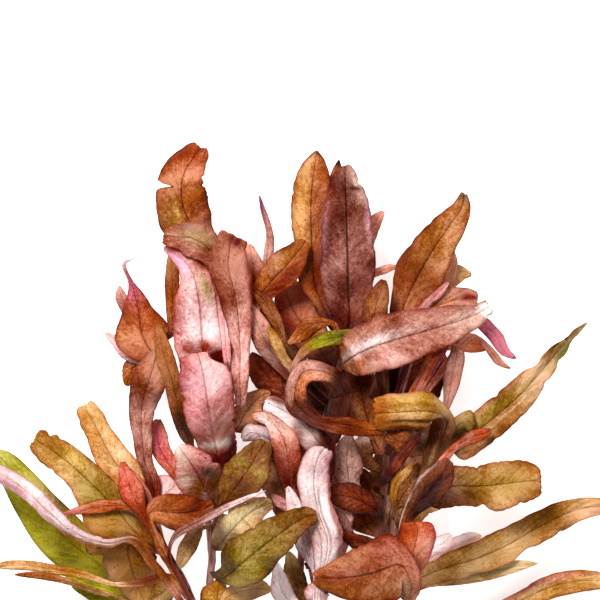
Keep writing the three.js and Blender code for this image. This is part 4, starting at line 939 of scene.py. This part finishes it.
# The young and narrow leaves. They are like the large ones but small, thin and often rolled
# or curled, and each grows from its stem with no seam.
YOUNG_LEAVES = [
    # Stem, the column and row of the tip in the photograph, the two faces, the tone, how blunt
    # the tip is, the painted marks, and then the tears, as for the large leaves.
    # The dark marks at the bases of young leaves on stem a are painted shade.
    ("a", 339, 159, "rust", "dusk", -0.05, 0, [(1, 0, 0.03, 2, "20140c", 1.5)]),
    ("a", 287, 344, "rust", "dusk", 0.05, 0.3, []),
    ("a", 251, 303, "dusk", "rust", 0.3, 0.3, [
        (0.1, 0, 0.16, 2, "300806", 1.4), (0.4, 0, 0.12, 1.5, "74362a", 0.9),
        (0.62, 0.6, 0.12, 0.6, "943f20", 0.9)]),
    ("a", 252, 289, "brown", "dusk", -0.03, 0.3, []),
    ("a", 241, 440, "white", "mauve", -0.5, 0.3, [(0.15, 0, 0.35, 2, "5c2418", 1.3)]),
    ("a", 268, 325, "gold", "olive", -0.1, 0.3, [(0.1, 0, 0.25, 2, "400c06", 1.3)]),
    ("a", 384, 210, "salmon", "dusk", 0.45, 0.3, []),
    ("a", 401, 266, "salmon", "ember", 0.12, 0.3, []),
    ("a", 250, 352, "maroon", "brown", 0, 0.3, [], (0.7, -1, -0.6, 0.2)),
    ("a", 280, 266, "brown", "brown", 0.38, 0.3, [
        (0.1, 0, 0.16, 2, "3c0c04", 1.3), (0.42, 0.6, 0.16, 0.6, "a05c2a", 0.9),
        (0.6, -0.6, 0.3, 0.6, "842812", 0.8), (0.65, 0.6, 0.12, 0.6, "a04c30", 0.8)],
        (0.75, 1, -0.6, 0.2)),
    ("a", 262, 300, "brown", "dusk", 0, 0.3, []),
    ("a", 322, 326, "maroon", "brown", 0.6, 0.3, []),
    ("a", 262, 415, "brown", "brown", 0.2, 0.3, []),
    ("b", 249, 243, "salmon", "dusk", 0.2, 0.3, []),
    ("b", 259, 194, "dusk", "magenta", -0.08, 0.3, [
        (0.95, 0, 0.2, 2, "a87480", 0.7)], (0.6, 1, -0.5, 0.2)),
    ("b", 271, 392, "rust", "dusk", 0, 0.3, [], (0.25, 1, -1.6, 0.25)),
    ("b", 178, 570, "tan", "olive", 0.25, 0.3, []),
    ("b", 222, 575, "tan", "brown", -0.42, 0.3, [], (0.6, -1, -0.5, 0.25)),
    ("b", 272, 590, "gold", "olive", 0.35, 0.3, []),
    ("c", 84, 541, "gold", "dusk", -0.1, 0.3, [
        (0.5, 0, 0.4, 1.5, "8c6010", 0.7)], (0.8, 1, -0.4, 0.2)),
    ("c", 122, 460, "rust", "magenta", -0.2, 0.3, [
        (0.5, 0, 0.5, 2, "a85a3c", 0.5), (0.62, 0.5, 0.12, 0.7, "922814", 0.9),
        (0.6, -0.6, 0.12, 0.7, "9c3e1a", 0.7), (0.9, 0, 0.13, 1.5, "c06050", 0.9)]),
    ("c", -12, 569, "tan", "rust", -0.2, 0.3, [(0.38, 0, 0.13, 1.5, "9c5830", 1)]),
    ("c", 61, 514, "dusk", "magenta", -0.05, 0.3, [
        (0.6, 0, 0.35, 2, "c07450", 0.9), (0.95, 0, 0.1, 2, "c0545c", 0.5)]),
    ("c", 144, 487, "maroon", "magenta", 0.1, 0.3, []),
    ("c", 126, 466, "salmon", "rust", 0.2, 0.3, []),
    ("c", 187, 477, "blush", "dusk", 0.5, 0.3, [], (0.6, -1, -0.7, 0.25)),
    ("c", 267, 489, "dusk", "salmon", 0, 0.3, [
        (0, 0, 0.6, 2, "5c1c0c", 1.5), (0.98, 0, 0.15, 2, "fce0dc", 0.9)]),
    ("c", 147, 603, "olive", "brown", -0.05, 0.3, []),
    ("d", 171, 250, "rust", "dusk", 0, 0.3, [(0.8, 0, 0.2, 2, "8c5020", 0.7)]),
    ("d", 126, 387, "rust", "dusk", -0.15, 0.3, []),
    ("d", 118, 285, "blush", "tan", -0.28, 0.3, [(0.5, 0, 0.5, 2, "dcac98", 0.5)]),
    ("d", 104, 333, "blush", "pink", -0.05, 0.3, []),
    ("e", 290, 374, "dusk", "rust", 0, 0.3, [
        (0.3, 0, 0.34, 2, "4c1c0c", 1.5), (0.76, 0, 0.09, 2, "a8a014", 1.1),
        (0.7, 0.3, 0.04, 0.5, "5c5c10", 0.8)]),
    ("e", 452, 247, "rust", "brown", 0.7, 0.3, []),
    ("e", 473, 274, "gold", "rust", 0.4, 0.3, []),
    ("e", 449, 281, "pink", "dusk", -0.05, 0.3, [(0.15, 0, 0.45, 2, "5c140c", 1.4)]),
    ("e", 384, 278, "brown", "olive", -0.15, 0.3, []),
    ("e", 518, 360, "magenta", "blush", 0.15, 0.3, []),
    ("e", 513, 370, "salmon", "magenta", 0.1, 0.3, []),
    ("e", 491, 348, "ember", "dusk", 0.05, 0.3, []),
    ("e", 444, 415, "dusk", "magenta", 0.15, 0.3, [
        (0, 0, 0.3, 2, "7c2412", 1.2), (0.6, 0, 0.12, 1.5, "8a4028", 1)]),
    ("e", 428, 395, "brown", "rust", 0, 0.3, []),
    ("e", 336, 527, "maroon", "dusk", -0.1, 0.3, []),
    ("e", 367, 433, "brown", "mauve", 0.15, 0.3, [
        (1, 0, 0.2, 2, "d8bcb0", 0.9)], (0.4, 1, -0.9, 0.3), (0.6, -1, -0.4, 0.3)),
    ("e", 421, 431, "maroon", "dusk", -0.2, 0.3, []),
    ("e", 335, 509, "mauve", "dusk", 0.12, 0.3, []),
    ("e", 358, 340, "rust", "maroon", 0.28, 0.3, [
        (0.4, 0.6, 0.12, 0.6, "a8622e", 0.8), (0.65, 0.4, 0.12, 0.8, "480f08", 1.1)]),
    ("e", 430, 400, "brown", "maroon", 0.45, 0.3, []),
    ("e", 392, 430, "brown", "maroon", 0.95, 0.3, []),
    ("e", 362, 468, "brown", "maroon", 0.2, 0.3, [], (0.85, 1, -1.2, 0.3)),
    ("f", 493, 430, "salmon", "dusk", -0.08, 0.3, []),
    ("f", 419, 462, "brown", "gold", 0, 0.3, []),
    ("f", 413, 462, "gold", "tan", -0.2, 0.3, []),
    ("f", 383, 435, "brown", "maroon", 0, 0.3, []),
    ("f", 433, 463, "ember", "dusk", 0, 0.3, []),
    # The high tones of these two pale leaves are painted light that lifts them out of shade.
    ("g", 453, 535, "white", "pink", 1.4, 0.3, []),
    ("g", 484, 538, "white", "white", 1.5, 0.3, []),
    ("h", 287, 485, "white", "pink", 0, 0.3, []),
    # This leaf's high tone is painted light that lifts it out of shade.
    ("h", 277, 562, "white", "pink", 1.35, 0.3, []),
    ("h", 323, 581, "blush", "pink", 0.15, 0.3, []),
    ("h", 288, 551, "olive", "brown", 0.3, 0.3, []),
    ("h", 269, 492, "blush", "pink", -0.5, 0.3, []),
    ("h", 342, 460, "dusk", "brown", 0.75, 0.3, []),
    ("i", 57, 573, "green", "olive", 0, 0.3, []),
    ("i", 10, 577, "gold", "rust", -0.05, 0.3, [(0.85, 0, 0.2, 2, "a05c30", 1)]),
    ("i", 69, 589, "green", "olive", 0.25, 0.3, []),
]
YOUNG_GRID = (48, 10)
YOUNG_RIPPLE = 0.7
YOUNG_SIDES = 4
RING_EDGES = 5


def root_on(line, beyond):
    """The base of a leaf grown to a stem: the place on the stem's line next to their join."""
    middle = np.mean([point.co[:] for point in beyond], axis=0)
    return line[np.argmin(np.linalg.norm(line - middle, axis=1))]


for letter, line in stem_lines.items():
    solid = merged_copy(f"stem_{letter}")
    tips = [point for point in solid.verts if len(point.link_edges) == YOUNG_SIDES
            and all(len(other.link_edges) == RING_EDGES for other in neighbours(point))]
    count = 0
    for stem_letter, column, row, sky, ground, tone, tip_shape, marks, *tears in YOUNG_LEAVES:
        if stem_letter != letter:
            continue
        count += 1
        seen = over(column, row)
        tip = min(tips, key=lambda point: (point.co.xy - seen.xy).length)
        rings, beyond = rings_from_tip(tip)
        rows = blade_points(tip, rings, root_on(line, beyond))
        leaf = make_leaf(f"young_{letter}{count}", rows, sky, ground, tone, YOUNG_RIPPLE,
                         tip_shape, marks, tears, YOUNG_GRID)
    solid.free()
